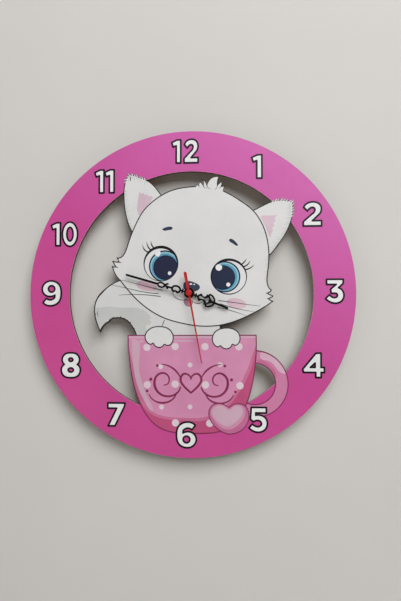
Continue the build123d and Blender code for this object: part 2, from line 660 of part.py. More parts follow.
def positive_contact():
    """A flat spring beside the battery's cap, with a strip up to the circuit board."""
    wall = CASE_SIZE / 2 - CASE_WALL
    cap_end = CELL_START + CELL_LENGTH + CELL_CAP
    inside = wall - CONTACT_THICKNESS
    contact = block(inside, wall, -25.5, BAY_TOP - 0.3, 3.0, 9.6)
    contact += dimple(inside, cap_end - inside, 2.4, 1.2)
    contact += block(inside, wall, BAY_TOP - 0.4, 13.0, 5.0, 2.4)
    return contact + block(20.4, wall, 11.4, 13.0, 5.0, CONTACT_THICKNESS)


def negative_contact():
    """A sprung cone beside the battery's flat end, with a strip along the bay to the board."""
    wall = -(CASE_SIZE / 2 - CASE_WALL)
    inside = wall + CONTACT_THICKNESS
    strip_top = DIVIDER_TOP + CONTACT_THICKNESS
    contact = block(wall, inside, -25.5, strip_top, 3.0, 4.4)
    contact += block(wall, inside, -25.5, BAY_TOP - 0.3, 3.0, 9.6)
    contact += dimple(inside, CELL_START - inside, 3.6, 1.6)
    contact += block(wall, 20.0, DIVIDER_TOP, strip_top, 5.0, 2.4)
    return contact + block(18.4, 20.0, DIVIDER_TOP, 12.6, 5.0, CONTACT_THICKNESS)


NODES = {
    "dial_plate": dial_plate,
    "threaded_bushing": threaded_bushing,
    "rubber_washer": rubber_washer,
    "brass_washer": brass_washer,
    "hex_nut": hex_nut,
    "hour_hand": hour_hand,
    "minute_hand": minute_hand,
    "second_hand": second_hand,
    "second_hand_hub": second_hand_hub,
    "hour_wheel": hour_wheel,
    "minute_cannon": minute_cannon,
    "clutch_spring": clutch_spring,
    "centre_drive_wheel": centre_drive_wheel,
    "second_wheel": second_wheel,
    "third_wheel": third_wheel,
    "fifth_wheel": fifth_wheel,
    "rotor_shaft": rotor_shaft,
    "rotor_magnet": rotor_magnet,
    "motion_wheel": motion_wheel,
    "setting_knob": setting_knob,
    "movement_case_front": case_front,
    "movement_back_cover": case_back_cover,
    "middle_plate": middle_plate,
    "stator": stator,
    "coil_core": coil_core,
    "coil_bobbin": coil_bobbin,
    "coil_winding": coil_winding,
    "circuit_board": circuit_board,
    "quartz_crystal": quartz_crystal,
    "chip_resin_drop": chip,
    "battery_body": battery_body,
    "battery_cap": battery_cap,
    "positive_contact": positive_contact,
    "negative_contact": negative_contact,
}

os.makedirs("parts", exist_ok=True)
for name, make in NODES.items():
    export_step(make(), f"parts/{name}.step")
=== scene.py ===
"""Looks of the cat tail clock: the printed face as thin layers of ink, and a finish for each part."""

import math

import bpy
import numpy as np
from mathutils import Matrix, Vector
from mathutils.geometry import delaunay_2d_cdt


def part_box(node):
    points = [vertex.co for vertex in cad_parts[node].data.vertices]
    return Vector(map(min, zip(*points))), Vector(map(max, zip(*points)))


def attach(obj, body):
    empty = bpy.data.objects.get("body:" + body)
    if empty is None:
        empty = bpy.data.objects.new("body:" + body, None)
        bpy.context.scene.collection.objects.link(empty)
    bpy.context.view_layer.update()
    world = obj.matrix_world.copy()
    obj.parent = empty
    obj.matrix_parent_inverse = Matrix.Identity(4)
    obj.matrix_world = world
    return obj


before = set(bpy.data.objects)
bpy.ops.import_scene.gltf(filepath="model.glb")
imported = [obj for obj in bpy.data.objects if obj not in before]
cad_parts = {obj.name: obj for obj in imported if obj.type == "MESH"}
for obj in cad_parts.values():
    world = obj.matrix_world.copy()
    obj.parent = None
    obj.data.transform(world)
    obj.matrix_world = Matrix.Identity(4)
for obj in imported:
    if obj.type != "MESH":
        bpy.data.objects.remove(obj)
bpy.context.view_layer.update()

PLATE_LOW, PLATE_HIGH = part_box("dial_plate")
PLATE_FRONT = PLATE_LOW.y
# The print is laid out in millimetres, centred on the hands' axis. MM is one of them in metres.
RING_OUTER, RING_INNER = 175.0, 131.3
MM = PLATE_HIGH.x / RING_OUTER
# Radius left unprinted for the washer, and the width of the print's main lines
WASHER_CLEARANCE = 5.7
LINE = 1.1
INK_ROUGHNESS, INK_SHINE = 0.42, 0.18
# Half the width of a ring sunk into moulded plastic, in metres
RING_GROOVE = 0.00022

# ---------------------------------------- materials


def srgb(red, green, blue):
    """A linear colour from display values between 0 and 255."""

    def linear(value):
        value /= 255.0
        return value / 12.92 if value <= 0.04045 else ((value + 0.055) / 1.055) ** 2.4

    return (linear(red), linear(green), linear(blue), 1.0)


class Finish:
    """A procedural material, with short ways to add and join its nodes."""

    def __init__(self, name, roughness=0.5, metallic=0.0, coat=0.0, specular=0.5):
        self.material = bpy.data.materials.new(name)
        self.material.use_nodes = True
        self.tree = self.material.node_tree
        self.shader = self.tree.nodes["Principled BSDF"]
        self.shader.inputs["Roughness"].default_value = roughness
        self.shader.inputs["Metallic"].default_value = metallic
        self.shader.inputs["Coat Weight"].default_value = coat
        self.shader.inputs["Specular IOR Level"].default_value = specular
        self.place = self.node("ShaderNodeTexCoord").outputs["Object"]

    def join(self, source, target):
        """Link an output to a socket, or give the socket a plain value."""
        if isinstance(source, bpy.types.NodeSocket):
            self.tree.links.new(source, target)
        else:
            target.default_value = source

    def node(self, kind, inputs=None, **settings):
        """A new node. inputs holds what goes into its sockets, each by name or number."""
        made = self.tree.nodes.new(kind)
        for key, value in settings.items():
            setattr(made, key, value)
        for key, value in (inputs or {}).items():
            self.join(value, made.inputs[key])
        return made

    def stretched(self, scale):
        mapping = self.node("ShaderNodeMapping", {"Scale": scale, "Vector": self.place})
        return mapping.outputs["Vector"]

    def noise(self, scale, detail=4.0, rough=0.6, vector=None):
        inputs = {"Scale": scale, "Detail": detail, "Roughness": rough, "Vector": vector or self.place}
        return self.node("ShaderNodeTexNoise", inputs).outputs["Fac"]

    def maths(self, operation, *values):
        return self.node("ShaderNodeMath", dict(enumerate(values)), operation=operation).outputs[0]

    def spread(self, value, low, high):
        """0 where the value is low and 1 where it is high."""
        inputs = {"Value": value, "From Min": low, "From Max": high}
        return self.node("ShaderNodeMapRange", inputs).outputs["Result"]

    def along(self, axis, low, high):
        """0 at low and 1 at high, along one axis of the row frame, in metres."""
        split = self.node("ShaderNodeSeparateXYZ", {"Vector": self.place})
        return self.spread(split.outputs[axis], low, high)

    def ramp(self, factor, *stops):
        """A colour or grey for each (position, colour) stop."""
        ramp = self.node("ShaderNodeValToRGB", {"Fac": factor})
        elements = ramp.color_ramp.elements
        while len(elements) < len(stops):
            elements.new(0.5)
        for element, (position, colour) in zip(elements, stops):
            element.position = position
            element.color = colour if isinstance(colour, tuple) else (colour, colour, colour, 1.0)
        return ramp.outputs["Color"]

    def mix(self, factor, first, second, blend="MIX"):
        # The node has sockets for every kind of data. Its colours go in at 6 and 7 and come out at 2.
        inputs = {"Factor": factor, 6: first, 7: second}
        return self.node("ShaderNodeMix", inputs, data_type="RGBA", blend_type=blend).outputs[2]

    def darkened(self, base, shade):
        return self.mix(1.0, base, shade, "MULTIPLY")

    def colour(self, source):
        self.join(source, self.shader.inputs["Base Color"])

    def roughen(self, factor, low, high):
        self.join(self.ramp(factor, (0.3, low), (0.7, high)), self.shader.inputs["Roughness"])

    def bump(self, height, strength, distance):
        bump = self.node("ShaderNodeBump", {"Strength": strength, "Distance": distance, "Height": height})
        self.join(bump.outputs["Normal"], self.shader.inputs["Normal"])


def tinted(colour, share):
    """A colour made lighter (share above 1) or darker."""
    return tuple(min(1.0, value * share) for value in colour[:3]) + (1.0,)


def printed(slot, name, colour, other, variation):
    """Cured ink: faint uneven coverage between two display colours, fine droplet grain and a soft
    satin surface. An ink is a material with the slot of the frame that it stands for."""
    ink = Finish(f"ink_{name}", INK_ROUGHNESS, specular=INK_SHINE)
    cloud = ink.ramp(ink.noise(22.0, detail=3.0), (0.35, 0.0), (0.65, 1.0))
    darker, lighter = tinted(srgb(*colour), 1 - variation), tinted(srgb(*other), 1 + variation)
    grain = ink.ramp(ink.noise(2600.0, detail=2.0), (0.3, 0.93), (0.7, 1.0))
    ink.colour(ink.darkened(ink.mix(cloud, darker, lighter), grain))
    ink.roughen(ink.noise(160.0), INK_ROUGHNESS - 0.07, INK_ROUGHNESS + 0.08)
    ink.bump(ink.noise(1500.0, detail=3.0), 0.12, 0.00008)
    return ink.material, slot


def ring_ink():
    """The ring's pink with painted light: lighter and cooler towards the top right, where the key lamp is,
    deeper towards the bottom left.
    """
    ink = Finish("ink_ring", 0.4, specular=INK_SHINE)
    # Painted light: the pink is lightened along the direction the key lamp shines from.
    towards_key_lamp = {0: ink.place, 1: (0.55, 0.0, 0.83)}
    slope = ink.node("ShaderNodeVectorMath", towards_key_lamp, operation="DOT_PRODUCT")
    base = ink.ramp(
        ink.spread(slope.outputs["Value"], -0.17, 0.17),
        (0.0, srgb(205, 80, 148)),
        (0.45, srgb(202, 77, 149)),
        (1.0, srgb(209, 100, 175)),
    )
    cloud = ink.ramp(ink.noise(14.0, detail=3.0), (0.3, 0.93), (0.7, 1.0))
    grain = ink.ramp(ink.noise(2600.0, detail=2.0), (0.3, 0.94), (0.7, 1.0))
    ink.colour(ink.darkened(ink.darkened(base, cloud), grain))
    ink.roughen(ink.noise(120.0), 0.34, 0.5)
    ink.bump(ink.noise(1500.0, detail=3.0), 0.12, 0.00008)
    return ink.material, "print_ring"


def fibreboard():
    """Raw board on the back, primed white on the front, and laser-charred on every cut edge."""
    board = Finish("fibreboard", 0.85)
    normal = board.node("ShaderNodeTexCoord").outputs["Normal"]
    facing = board.node("ShaderNodeSeparateXYZ", {"Vector": normal}).outputs["Y"]
    fibre = board.noise(1.0, detail=8.0, rough=0.75, vector=board.stretched((900.0, 900.0, 2600.0)))
    blotch = board.ramp(board.noise(60.0, detail=5.0), (0.3, 0.0), (0.7, 1.0))
    raw = board.mix(blotch, srgb(158, 124, 88), srgb(178, 144, 106))
    raw = board.darkened(raw, board.ramp(fibre, (0.35, 0.6), (0.65, 1.08)))
    # The char on the cut edges is drawn darker towards the board's back face.
    depth = board.ramp(board.along("Y", PLATE_LOW.y, PLATE_HIGH.y), (0.0, 0.25), (1.0, 0.8))
    streak = board.noise(1.0, detail=5.0, vector=board.stretched((420.0, 60.0, 420.0)))
    char_by_depth = board.mix(depth, srgb(96, 62, 40), srgb(38, 24, 17))
    char = board.mix(board.ramp(streak, (0.35, 0.0), (0.7, 1.0)), char_by_depth, srgb(70, 44, 29))
    edge = board.ramp(board.maths("ABSOLUTE", facing), (0.35, 1.0), (0.6, 0.0))
    faces = board.mix(board.maths("LESS_THAN", facing, -0.5), raw, srgb(214, 212, 208))
    board.colour(board.mix(edge, faces, char))
    board.roughen(fibre, 0.75, 0.95)
    board.bump(fibre, 0.35, 0.0002)
    return board.material


def lacquer(name, colour, shine=0.42, reflection=0.1):
    """Thin sprayed lacquer over stamped sheet: slight orange peel, rubbed paler at random spots."""
    coat = Finish(name, shine, specular=reflection)
    wear = coat.ramp(coat.noise(380.0, detail=5.0), (0.60, 0.0), (0.78, 1.0))
    coat.colour(coat.mix(wear, colour, tinted(colour, 1.35)))
    coat.roughen(coat.noise(700.0), shine - 0.08, shine + 0.12)
    coat.bump(coat.noise(1800.0, detail=2.0), 0.15, 0.00006)
    return coat.material


def moulded(name, colour, grain=2200.0, strength=0.35, shine=0.5, rings=()):
    """Moulded plastic with a spark-eroded grain. rings are circles sunk into a face that looks
    along Y, each drawn much darker as painted shade in its groove: the x and z of the middle and the
    radius, in metres."""
    plastic = Finish(name, shine)
    cells = plastic.node("ShaderNodeTexVoronoi", {"Scale": grain, "Vector": plastic.place})
    dust = plastic.ramp(plastic.noise(90.0, detail=6.0), (0.45, 0.0), (0.75, 1.0))
    dusty = tuple(value * 0.9 + 0.012 for value in colour[:3]) + (1.0,)
    colouring, height = plastic.mix(dust, colour, dusty), cells.outputs["Distance"]
    flat = plastic.stretched((1.0, 0.0, 1.0))
    for x, z, radius in rings:
        reach = plastic.node("ShaderNodeVectorMath", {0: flat, 1: (x, 0.0, z)}, operation="DISTANCE")
        groove = plastic.maths("COMPARE", reach.outputs["Value"], radius, RING_GROOVE)
        height = plastic.maths("MULTIPLY_ADD", groove, -2.0, height)
        # Painted shade: each groove is drawn at about a third of the plastic's colour.
        colouring = plastic.mix(groove, colouring, tinted(colour, 0.3))
    plastic.colour(colouring)
    plastic.roughen(plastic.noise(260.0), shine - 0.08, shine + 0.1)
    plastic.bump(height, strength, 0.00015)
    return plastic.material


def metal(name, colour, roughness=0.3, stretch=(300.0, 6000.0, 300.0)):
    """Turned or rolled metal: fine drawn lines, tarnish in clouds."""
    bare = Finish(name, roughness, metallic=1.0)
    lines = bare.noise(1.0, detail=3.0, vector=bare.stretched(stretch))
    tarnish = bare.ramp(bare.noise(240.0, detail=6.0), (0.4, 0.0), (0.75, 1.0))
    bare.colour(bare.mix(tarnish, colour, tinted(colour, 0.72)))
    bare.roughen(lines, roughness - 0.08, roughness + 0.14)
    bare.bump(lines, 0.2, 0.00005)
    return bare.material


def copper_winding():
    """Hair-fine enamelled wire, as close rings along the coil."""
    wire = Finish("copper_winding", 0.28, metallic=1.0)
    inputs = {"Scale": 1600.0, "Distortion": 1.5, "Detail Scale": 0.4, "Vector": wire.place}
    turns = wire.node("ShaderNodeTexWave", inputs, bands_direction="X").outputs["Fac"]
    wire.colour(wire.mix(turns, srgb(120, 52, 24), srgb(200, 104, 56)))
    wire.bump(turns, 0.6, 0.0001)
    return wire.material


def circuit_laminate():
    """Green solder mask with paler tracks under it."""
    board = Finish("circuit_laminate", 0.35, coat=0.3)
    turned = {"Rotation": (math.radians(90), 0, 0), "Vector": board.place}
    tracks = board.node("ShaderNodeTexBrick", {
        "Vector": board.node("ShaderNodeMapping", turned).outputs["Vector"],
        "Scale": 260.0,
        "Mortar Size": 0.06,
        "Color1": srgb(24, 84, 48),
        "Color2": srgb(20, 72, 42),
        "Mortar": srgb(52, 120, 74),
    })
    board.colour(tracks.outputs["Color"])
    board.bump(tracks.outputs["Fac"], 0.3, 0.0001)
    return board.material


def cell_wrap():
    """Plain shrink film: dark with a copper-coloured band towards the raised end."""
    film = Finish("cell_wrap", 0.25, coat=0.5)
    low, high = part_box("battery_body")
    band = film.ramp(
        film.along("X", low.x, high.x),
        (0.0, srgb(186, 186, 186)),
        (0.012, srgb(26, 30, 34)),
        (0.70, srgb(26, 30, 34)),
        (0.705, srgb(184, 116, 62)),
        (0.982, srgb(192, 124, 68)),
        (0.985, srgb(190, 190, 190)),
    )
    scuff = film.ramp(film.noise(420.0, detail=6.0), (0.62, 0.0), (0.72, 0.35))
    film.colour(film.mix(scuff, band, srgb(120, 116, 110)))
    film.roughen(film.noise(300.0), 0.2, 0.38)
    film.bump(film.noise(500.0), 0.1, 0.0001)
    return film.material


def in_scene(name, data):
    """A new object, linked into the scene."""
    made = bpy.data.objects.new(name, data)
    bpy.context.scene.collection.objects.link(made)
    return made


# ---------------------------------------- curves in the plate's plane


def spans(points, step=0.8):
    """Samples of a smooth curve through the points, as one list for each span, without its end."""
    points = np.array(points, float)
    count = len(points)
    lengths = np.linalg.norm(np.diff(points, axis=0), axis=1)
    knots = np.concatenate([[0.0], np.cumsum(lengths)])

    def end_slope(ts, ps):
        """Slope at the first of a few points, of the polynomial through them."""
        powers = np.vander(ts - ts[0], len(ts), increasing=True)
        return np.linalg.solve(powers, ps)[1]

    matrix = np.zeros((count, count))
    right = np.zeros((count, 2))
    matrix[0, 0] = matrix[-1, -1] = 1.0
    right[0] = end_slope(knots[:4], points[:4])
    right[-1] = end_slope(knots[::-1][:4], points[::-1][:4])
    for i in range(1, count - 1):
        before, after = lengths[i - 1], lengths[i]
        matrix[i, i - 1 : i + 2] = after, 2 * (before + after), before
        rise = (points[i] - points[i - 1]) / before * after + (points[i + 1] - points[i]) / after * before
        right[i] = 3 * rise
    slopes = np.linalg.solve(matrix, right)
    samples = []
    for i in range(count - 1):
        span = lengths[i]
        pieces = max(2, math.ceil(span / step))
        u = (np.arange(pieces) / pieces)[:, None]
        samples.append(
            (2 * u**3 - 3 * u**2 + 1) * points[i]
            + (u**3 - 2 * u**2 + u) * span * slopes[i]
            + (3 * u**2 - 2 * u**3) * points[i + 1]
            + (u**3 - u**2) * span * slopes[i + 1]
        )
    return samples


def path(points):
    """An open smooth curve, with its last point. Two points are a straight line."""
    if len(points) == 2:
        return np.array(points, float)
    return np.vstack([*spans(points), [points[-1]]])


def run_paths(runs):
    """Each run of an outline as its own open curve, up to and including the next run's start."""
    return [path([*run, following[0]]) for run, following in zip(runs, runs[1:] + runs[:1])]


def closed(runs):
    """The whole outline as one loop. Runs meet at corners."""
    return np.concatenate([curve[:-1] for curve in run_paths(runs)])


def outline(*runs):
    return closed(list(runs))


def loop(*points):
    """A smooth loop through the points, with no corner."""
    ring = [*points[-3:], *points, *points[:3]]
    return np.concatenate(spans(ring)[3 : 3 + len(points)])


def ellipse(x, z, wide, high, tilt=0.0):
    count = max(16, int(2.2 * (wide + high)))
    turn = math.radians(tilt)
    angles = np.arange(count) * 2 * math.pi / count
    across, up = wide * np.cos(angles), high * np.sin(angles)
    xs = x + across * math.cos(turn) - up * math.sin(turn)
    zs = z + across * math.sin(turn) + up * math.cos(turn)
    return np.stack([xs, zs], axis=1)


def circle(x, z, radius):
    return ellipse(x, z, radius, radius)


def anticlockwise(polygon):
    x, z = np.array(polygon).T
    return np.sum(x * np.roll(z, -1) - z * np.roll(x, -1)) > 0


def facing_left(polygon):
    """The polygon, turned anticlockwise if it isn't."""
    return np.array(polygon) if anticlockwise(polygon) else np.array(polygon)[::-1]


def all_round(ring):
    """A loop with its first point again at the end."""
    return np.vstack([ring, ring[:1]])


def strip(curve, left, right):
    """Quads along an open curve, from a distance on its left to a distance on its right. Each
    distance is one number or one for each point."""
    curve = np.array(curve, float)
    ahead = np.gradient(curve, axis=0)
    ahead /= np.linalg.norm(ahead, axis=1)[:, None] + 1e-12
    normal = np.stack([-ahead[:, 1], ahead[:, 0]], axis=1)
    a = curve + normal * np.reshape(left, (-1, 1))
    b = curve - normal * np.reshape(right, (-1, 1))
    return [facing_left([a[i], b[i], b[i + 1], a[i + 1]]) for i in range(len(curve) - 1)]


def stroke(points, width, start=1.0, end=1.0, middle=1.0):
    """A brush line along a smooth curve. start, middle and end are shares of the width."""
    curve = path(points)
    along = np.linspace(0, 1, len(curve))
    half = width / 2 * np.interp(along, [0, 0.5, 1], [start, middle, end])
    quads = strip(curve, half, half)
    for tip, share in ((curve[0], start), (curve[-1], end)):
        if share > 0.4:
            quads.append(ellipse(*tip, width / 2 * share, width / 2 * share)[::2])
    return quads


def edge_line(runs, width, skip=()):
    """A line just inside an outline. skip lists the runs left bare, by number."""
    inside_left = anticlockwise(closed(runs))
    left, right = (width, 0.0) if inside_left else (0.0, width)
    quads = []
    curves = run_paths(runs)
    for number, curve in enumerate(curves):
        if number in skip:
            continue
        quads += strip(curve, left, right)
        # A wedge fills the notch between this run's line and the next one's, at their corner.
        following = curves[(number + 1) % len(curves)]
        ends = []
        for a, b in ((curve[-2], curve[-1]), (following[0], following[1])):
            ahead = (b - a) / np.linalg.norm(b - a)
            normal = np.array([-ahead[1], ahead[0]]) * (width if inside_left else -width)
            ends.append(curve[-1] + normal)
        if (number + 1) % len(curves) not in skip:
            quads.append(facing_left([curve[-1], *ends]))
    return quads


def tufts(points, spacing, base, height, lean, root=0.5):
    """Fur points along the left of a smooth curve, or along its right where height is negative.
    Each leans along the curve, is a little uneven, and starts root millimetres to the right of it."""
    curve = path(points)
    lengths = np.concatenate([[0.0], np.cumsum(np.linalg.norm(np.diff(curve, axis=0), axis=1))])
    made = []
    for number, place in enumerate(np.arange(base / 2, lengths[-1] - base / 2, spacing)):
        feet = (place - base / 2, place + base / 2)
        ends = np.stack([np.interp(feet, lengths, curve[:, i]) for i in (0, 1)], axis=1)
        ahead = (ends[1] - ends[0]) / np.linalg.norm(ends[1] - ends[0])
        outward = np.array([-ahead[1], ahead[0]])
        uneven = 1 + 0.3 * math.sin(2.4 * number)
        tip = (ends[0] + ends[1]) / 2 + (outward * height + ahead * lean) * uneven
        made.append(facing_left([ends[0] - outward * root, ends[1] - outward * root, tip]))
    return made


# ---------------------------------------- ink sheets


def ink(name, height, colour, shapes, cuts=(), within=()):
    """A thin closed sheet of ink on the plate's front: the union of all shapes, less the cuts and
    only inside within, where that is given. Its top is height millimetres above the plate."""
    material, slot = colour
    points, faces = [], []
    first_within = len(shapes) + len(cuts)
    for polygon in [facing_left(shape) for shape in [*shapes, *cuts, *within]]:
        start = len(points)
        points += [Vector((float(x), float(z))) for x, z in polygon]
        faces.append(list(range(start, len(points))))
    places, _, triangles, _, _, owners = delaunay_2d_cdt(points, [], faces, 1, 1e-5)
    kept = []
    for triangle, owner in zip(triangles, owners):
        drawn = any(number < len(shapes) for number in owner)
        cut = any(len(shapes) <= number < first_within for number in owner)
        masked = within and not any(number >= first_within for number in owner)
        if drawn and not cut and not masked:
            kept.append(triangle)
    used = sorted({corner for triangle in kept for corner in triangle})
    number = {corner: i for i, corner in enumerate(used)}
    kept = [[number[corner] for corner in triangle] for triangle in kept]
    size = len(used)
    top, bottom = PLATE_FRONT - height * MM, PLATE_FRONT
    verts = [(places[c].x * MM, top, places[c].y * MM) for c in used]
    verts += [(places[c].x * MM, bottom, places[c].y * MM) for c in used]
    edges = {(t[i], t[(i + 1) % len(t)]) for t in kept for i in range(len(t))}
    solid = [list(t) for t in kept] + [[c + size for c in reversed(t)] for t in kept]
    solid += [[b, a, a + size, b + size] for a, b in edges if (b, a) not in edges]
    mesh = bpy.data.meshes.new(name)
    mesh.from_pydata(verts, [], solid)
    mesh.materials.append(material)
    piece = in_scene(name, mesh)
    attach(piece, "movement")
    return piece


WASHER = circle(0, 0, WASHER_CLEARANCE)

# ---------------------------------------- silhouette

HEAD = [
    [(-79.2, 38.9), (-74.6, 39.6), (-71.2, 43.5), (-68.2, 51), (-65, 60.5), (-58, 77), (-50, 90.2),
     (-40, 99.9), (-30, 106.7), (-15, 112.7), (0, 114.9)],
    [(7, 115.4)], [(7.5, 117.4)], [(9.6, 115.6)], [(10.6, 120), (12.6, 118.4)],
    [(14.6, 115.5), (14.9, 119.2)], [(12.8, 122.7), (16.4, 120.2)],
    [(18.6, 115.2), (20.4, 120.2), (24.2, 123.9), (28, 125.1)],
    [(31.5, 124.7), (30, 120.5)], [(29.8, 115.6), (31.8, 117.4)],
    [(34.2, 119.6), (34.6, 117)], [(33.6, 114.1)], [(37.3, 114.6)],
    [(36.2, 109.8), (45, 105.2), (55.5, 98.4), (68, 88.4), (75, 79), (80, 68.5), (83.2, 57), (84.7, 46),
     (84.8, 36), (83.8, 24), (82.9, 12), (84.4, 6.4)],
    [(87.4, 3.3)], [(86.6, 1.3)], [(83.4, -0.4)], [(88.5, -2.7)], [(88.6, -4.3)], [(84.4, -6.4)],
    [(89, -8.8), (80, -15.2), (70, -20.8), (59, -26.2), (45, -31.6), (31, -34.9), (17, -35.8), (4, -34.9),
     (-11, -32), (-26, -27.6), (-40, -20.6), (-55, -9.4), (-66, 2)],
    [(-76, 14.2), (-80.6, 19.5), (-83.2, 25)],
    [(-84.6, 29.5)], [(-80.8, 28.9), (-82.6, 31.8)], [(-84, 35.2)], [(-77.4, 34.2)],
]
LEFT_EAR = [
    [(-57, 62)],
    [(-62.8, 66), (-67.8, 77.5), (-70.6, 89), (-71.9, 101), (-72, 112), (-70.2, 122)],
    [(-66.4, 129.2), (-60, 127.9), (-52.5, 125.2), (-46, 122.4), (-39.5, 117.4), (-34, 111)],
    [(-30, 105.4)], [(-36, 92)],
]
RIGHT_EAR = [
    [(62, 86)],
    [(67.6, 88.4), (77, 92.8), (87.5, 97.3), (98, 98.7)],
    [(109.4, 96.4), (110.2, 89), (107.6, 74.8), (101, 60.4), (93, 49), (84.2, 39.6)],
    [(76, 52)],
]
TAIL_AND_BODY = [
    [(-74, 15.2), (-84.6, 10.4), (-93, 4.2), (-99.6, -2.8), (-103.2, -11), (-104, -19.4), (-102.3, -29),
     (-99.4, -37)],
    [(-97, -42.4), (-94.4, -36.8), (-90.8, -32.8)],
    [(-87.2, -31), (-85, -28.2), (-79.4, -26.8), (-73, -27.2), (-68, -29.6), (-63.4, -34.6), (-60, -40)],
    [(-57.6, -47)], [(31.6, -47)], [(32.4, -37.8)], [(31, -30)], [(-50, 10)],
]
MUG = [
    [(-67, -44.8)],
    [(71.1, -44.2), (71.3, -60), (70, -78), (67.2, -95), (62.4, -113), (55.6, -127.4), (45.8, -139.4),
     (34, -146.2), (18, -149), (-2, -149.3), (-20, -148), (-33.6, -143), (-45.4, -132), (-54.4, -116),
     (-60.6, -98), (-64.6, -76), (-66.5, -58)],
]
LEFT_PAW = [
    [(-47.9, -43.6), (-45, -39.4), (-40, -36.3), (-32.5, -35.2), (-25, -36.4), (-19.5, -40.4),
     (-17, -46.6), (-17.8, -52), (-20.6, -55.6), (-24, -56.3)],
    [(-27, -54.9), (-29, -57.4), (-33, -58.6), (-36.6, -57.4)],
    [(-39.2, -53.6), (-42.4, -55.2), (-45.8, -53.2), (-48.2, -49)],
]
RIGHT_PAW = [
    [(24.2, -46.4), (26, -42.2), (30.4, -38.6), (36, -36.9), (42, -36.7), (48.6, -38.6), (53, -43),
     (54.2, -48.6), (52.4, -53.6), (49.4, -55.9)],
    [(45.8, -54.4), (44.2, -57.6), (40, -59.7), (36, -59)],
    [(32.8, -56.2), (29.4, -57.6), (25.6, -54.6), (23.9, -50.6)],
]
HEART = [
    [(42, -120.5), (37.6, -118), (31, -116.6), (24, -118.6), (20.4, -124.6), (20.6, -131.6),
     (24.4, -138.8), (31.6, -145.4)],
    [(40.6, -149.2), (50.6, -147.6), (58.6, -142), (62.6, -134.6), (63, -126.4), (59.6, -119.2),
     (53.6, -116.6), (47.4, -117.4)],
]
# The handle's two circles: the x and z of the middle, and the radius
HANDLE_OUTER, HANDLE_INNER = (69, -96, 35.4), (69, -96, 21.3)
HEAD_AREA, TAIL_AREA, MUG_AREA = closed(HEAD), closed(TAIL_AND_BODY), closed(MUG)
EARS = [closed(LEFT_EAR), closed(RIGHT_EAR)]

# ---------------------------------------- ink colours

FUR = printed("print_kitten", "fur", (218, 218, 217), (222, 221, 220), 0.015)
TAIL_FUR = printed("print_kitten", "tail_fur", (212, 212, 211), (216, 215, 214), 0.02)
GREY_SHADE = printed("print_shade", "grey_shade", (194, 195, 193), (200, 200, 198), 0.02)
SOFT_SHADE = printed("print_shade", "soft_shade", (186, 190, 188), (194, 197, 196), 0.015)
BLUSH = printed("print_shade", "blush", (211, 178, 192), (216, 186, 198), 0.04)
INNER_EAR = printed("print_shade", "inner_ear", (210, 184, 197), (214, 190, 202), 0.04)
DARK_LINE = printed("print_dark", "dark_line", (26, 27, 30), (20, 20, 24), 0.1)
PALE_LINE = printed("print_dark", "pale_line", (90, 88, 93), (78, 76, 82), 0.08)
FUR_EDGE = printed("print_shade", "fur_edge", (134, 112, 134), (120, 104, 122), 0.1)
BLACK = printed("print_dark", "black", (14, 8, 16), (18, 12, 20), 0.1)
SLATE = printed("print_dark", "slate", (42, 52, 74), (52, 62, 84), 0.12)
PUPIL = printed("print_eye", "pupil", (38, 40, 70), (32, 40, 64), 0.12)
IRIS_DARK = printed("print_eye", "iris_rim", (10, 22, 42), (14, 28, 50), 0.1)
IRIS = printed("print_eye", "iris", (84, 146, 178), (96, 158, 188), 0.08)
IRIS_PALE = printed("print_eye", "iris_light", (136, 188, 206), (148, 198, 214), 0.05)
EYE_WHITE = printed("print_white", "eye_white", (222, 221, 223), (226, 225, 227), 0.01)
WHITE = printed("print_white", "white", (231, 233, 233), (235, 235, 235), 0.02)
ROSE_LINE = printed("print_mug", "rose_line", (122, 44, 80), (132, 52, 88), 0.08)
FLOURISH = printed("print_mug", "flourish", (128, 42, 80), (138, 50, 90), 0.1)
MUG_DEEP = printed("print_mug", "mug_deep", (186, 78, 120), (192, 84, 128), 0.04)
MUG_HALF = printed("print_mug", "mug_half", (196, 108, 146), (200, 114, 150), 0.04)
MUG_PINK = printed("print_mug", "mug_pink", (209, 138, 174), (213, 144, 179), 0.03)
MUG_PALE = printed("print_mug", "mug_pale", (206, 170, 188), (210, 164, 186), 0.04)
MUG_DOT = printed("print_mug", "mug_dot", (224, 200, 212), (220, 206, 212), 0.03)
HEART_DEEP = printed("print_mug", "heart_deep", (192, 104, 146), (196, 112, 152), 0.05)
HEART_HALF = printed("print_mug", "heart_half", (204, 140, 172), (206, 146, 174), 0.04)
HEART_PALE = printed("print_mug", "heart_pale", (206, 166, 186), (206, 172, 188), 0.04)
TONGUE = printed("print_shade", "tongue", (190, 128, 150), (198, 140, 160), 0.06)

RING_INK = ring_ink()
HANDLE_INK = printed("print_mug", "handle", (207, 130, 168), (203, 126, 163), 0.04)
HANDLE_PALE = printed("print_mug", "handle_pale", (219, 174, 196), (214, 178, 196), 0.04)

# ---------------------------------------- the print, back to front

# Each sheet lies a few hundredths of a millimetre above those it covers. The ring's stops just
# short of both cut edges.
INK_MARGIN = 0.1
ring_edge, ring_hole = circle(0, 0, RING_OUTER - INK_MARGIN), circle(0, 0, RING_INNER + INK_MARGIN)
ink("ink_ring", 0.10, RING_INK, [ring_edge], [ring_hole])

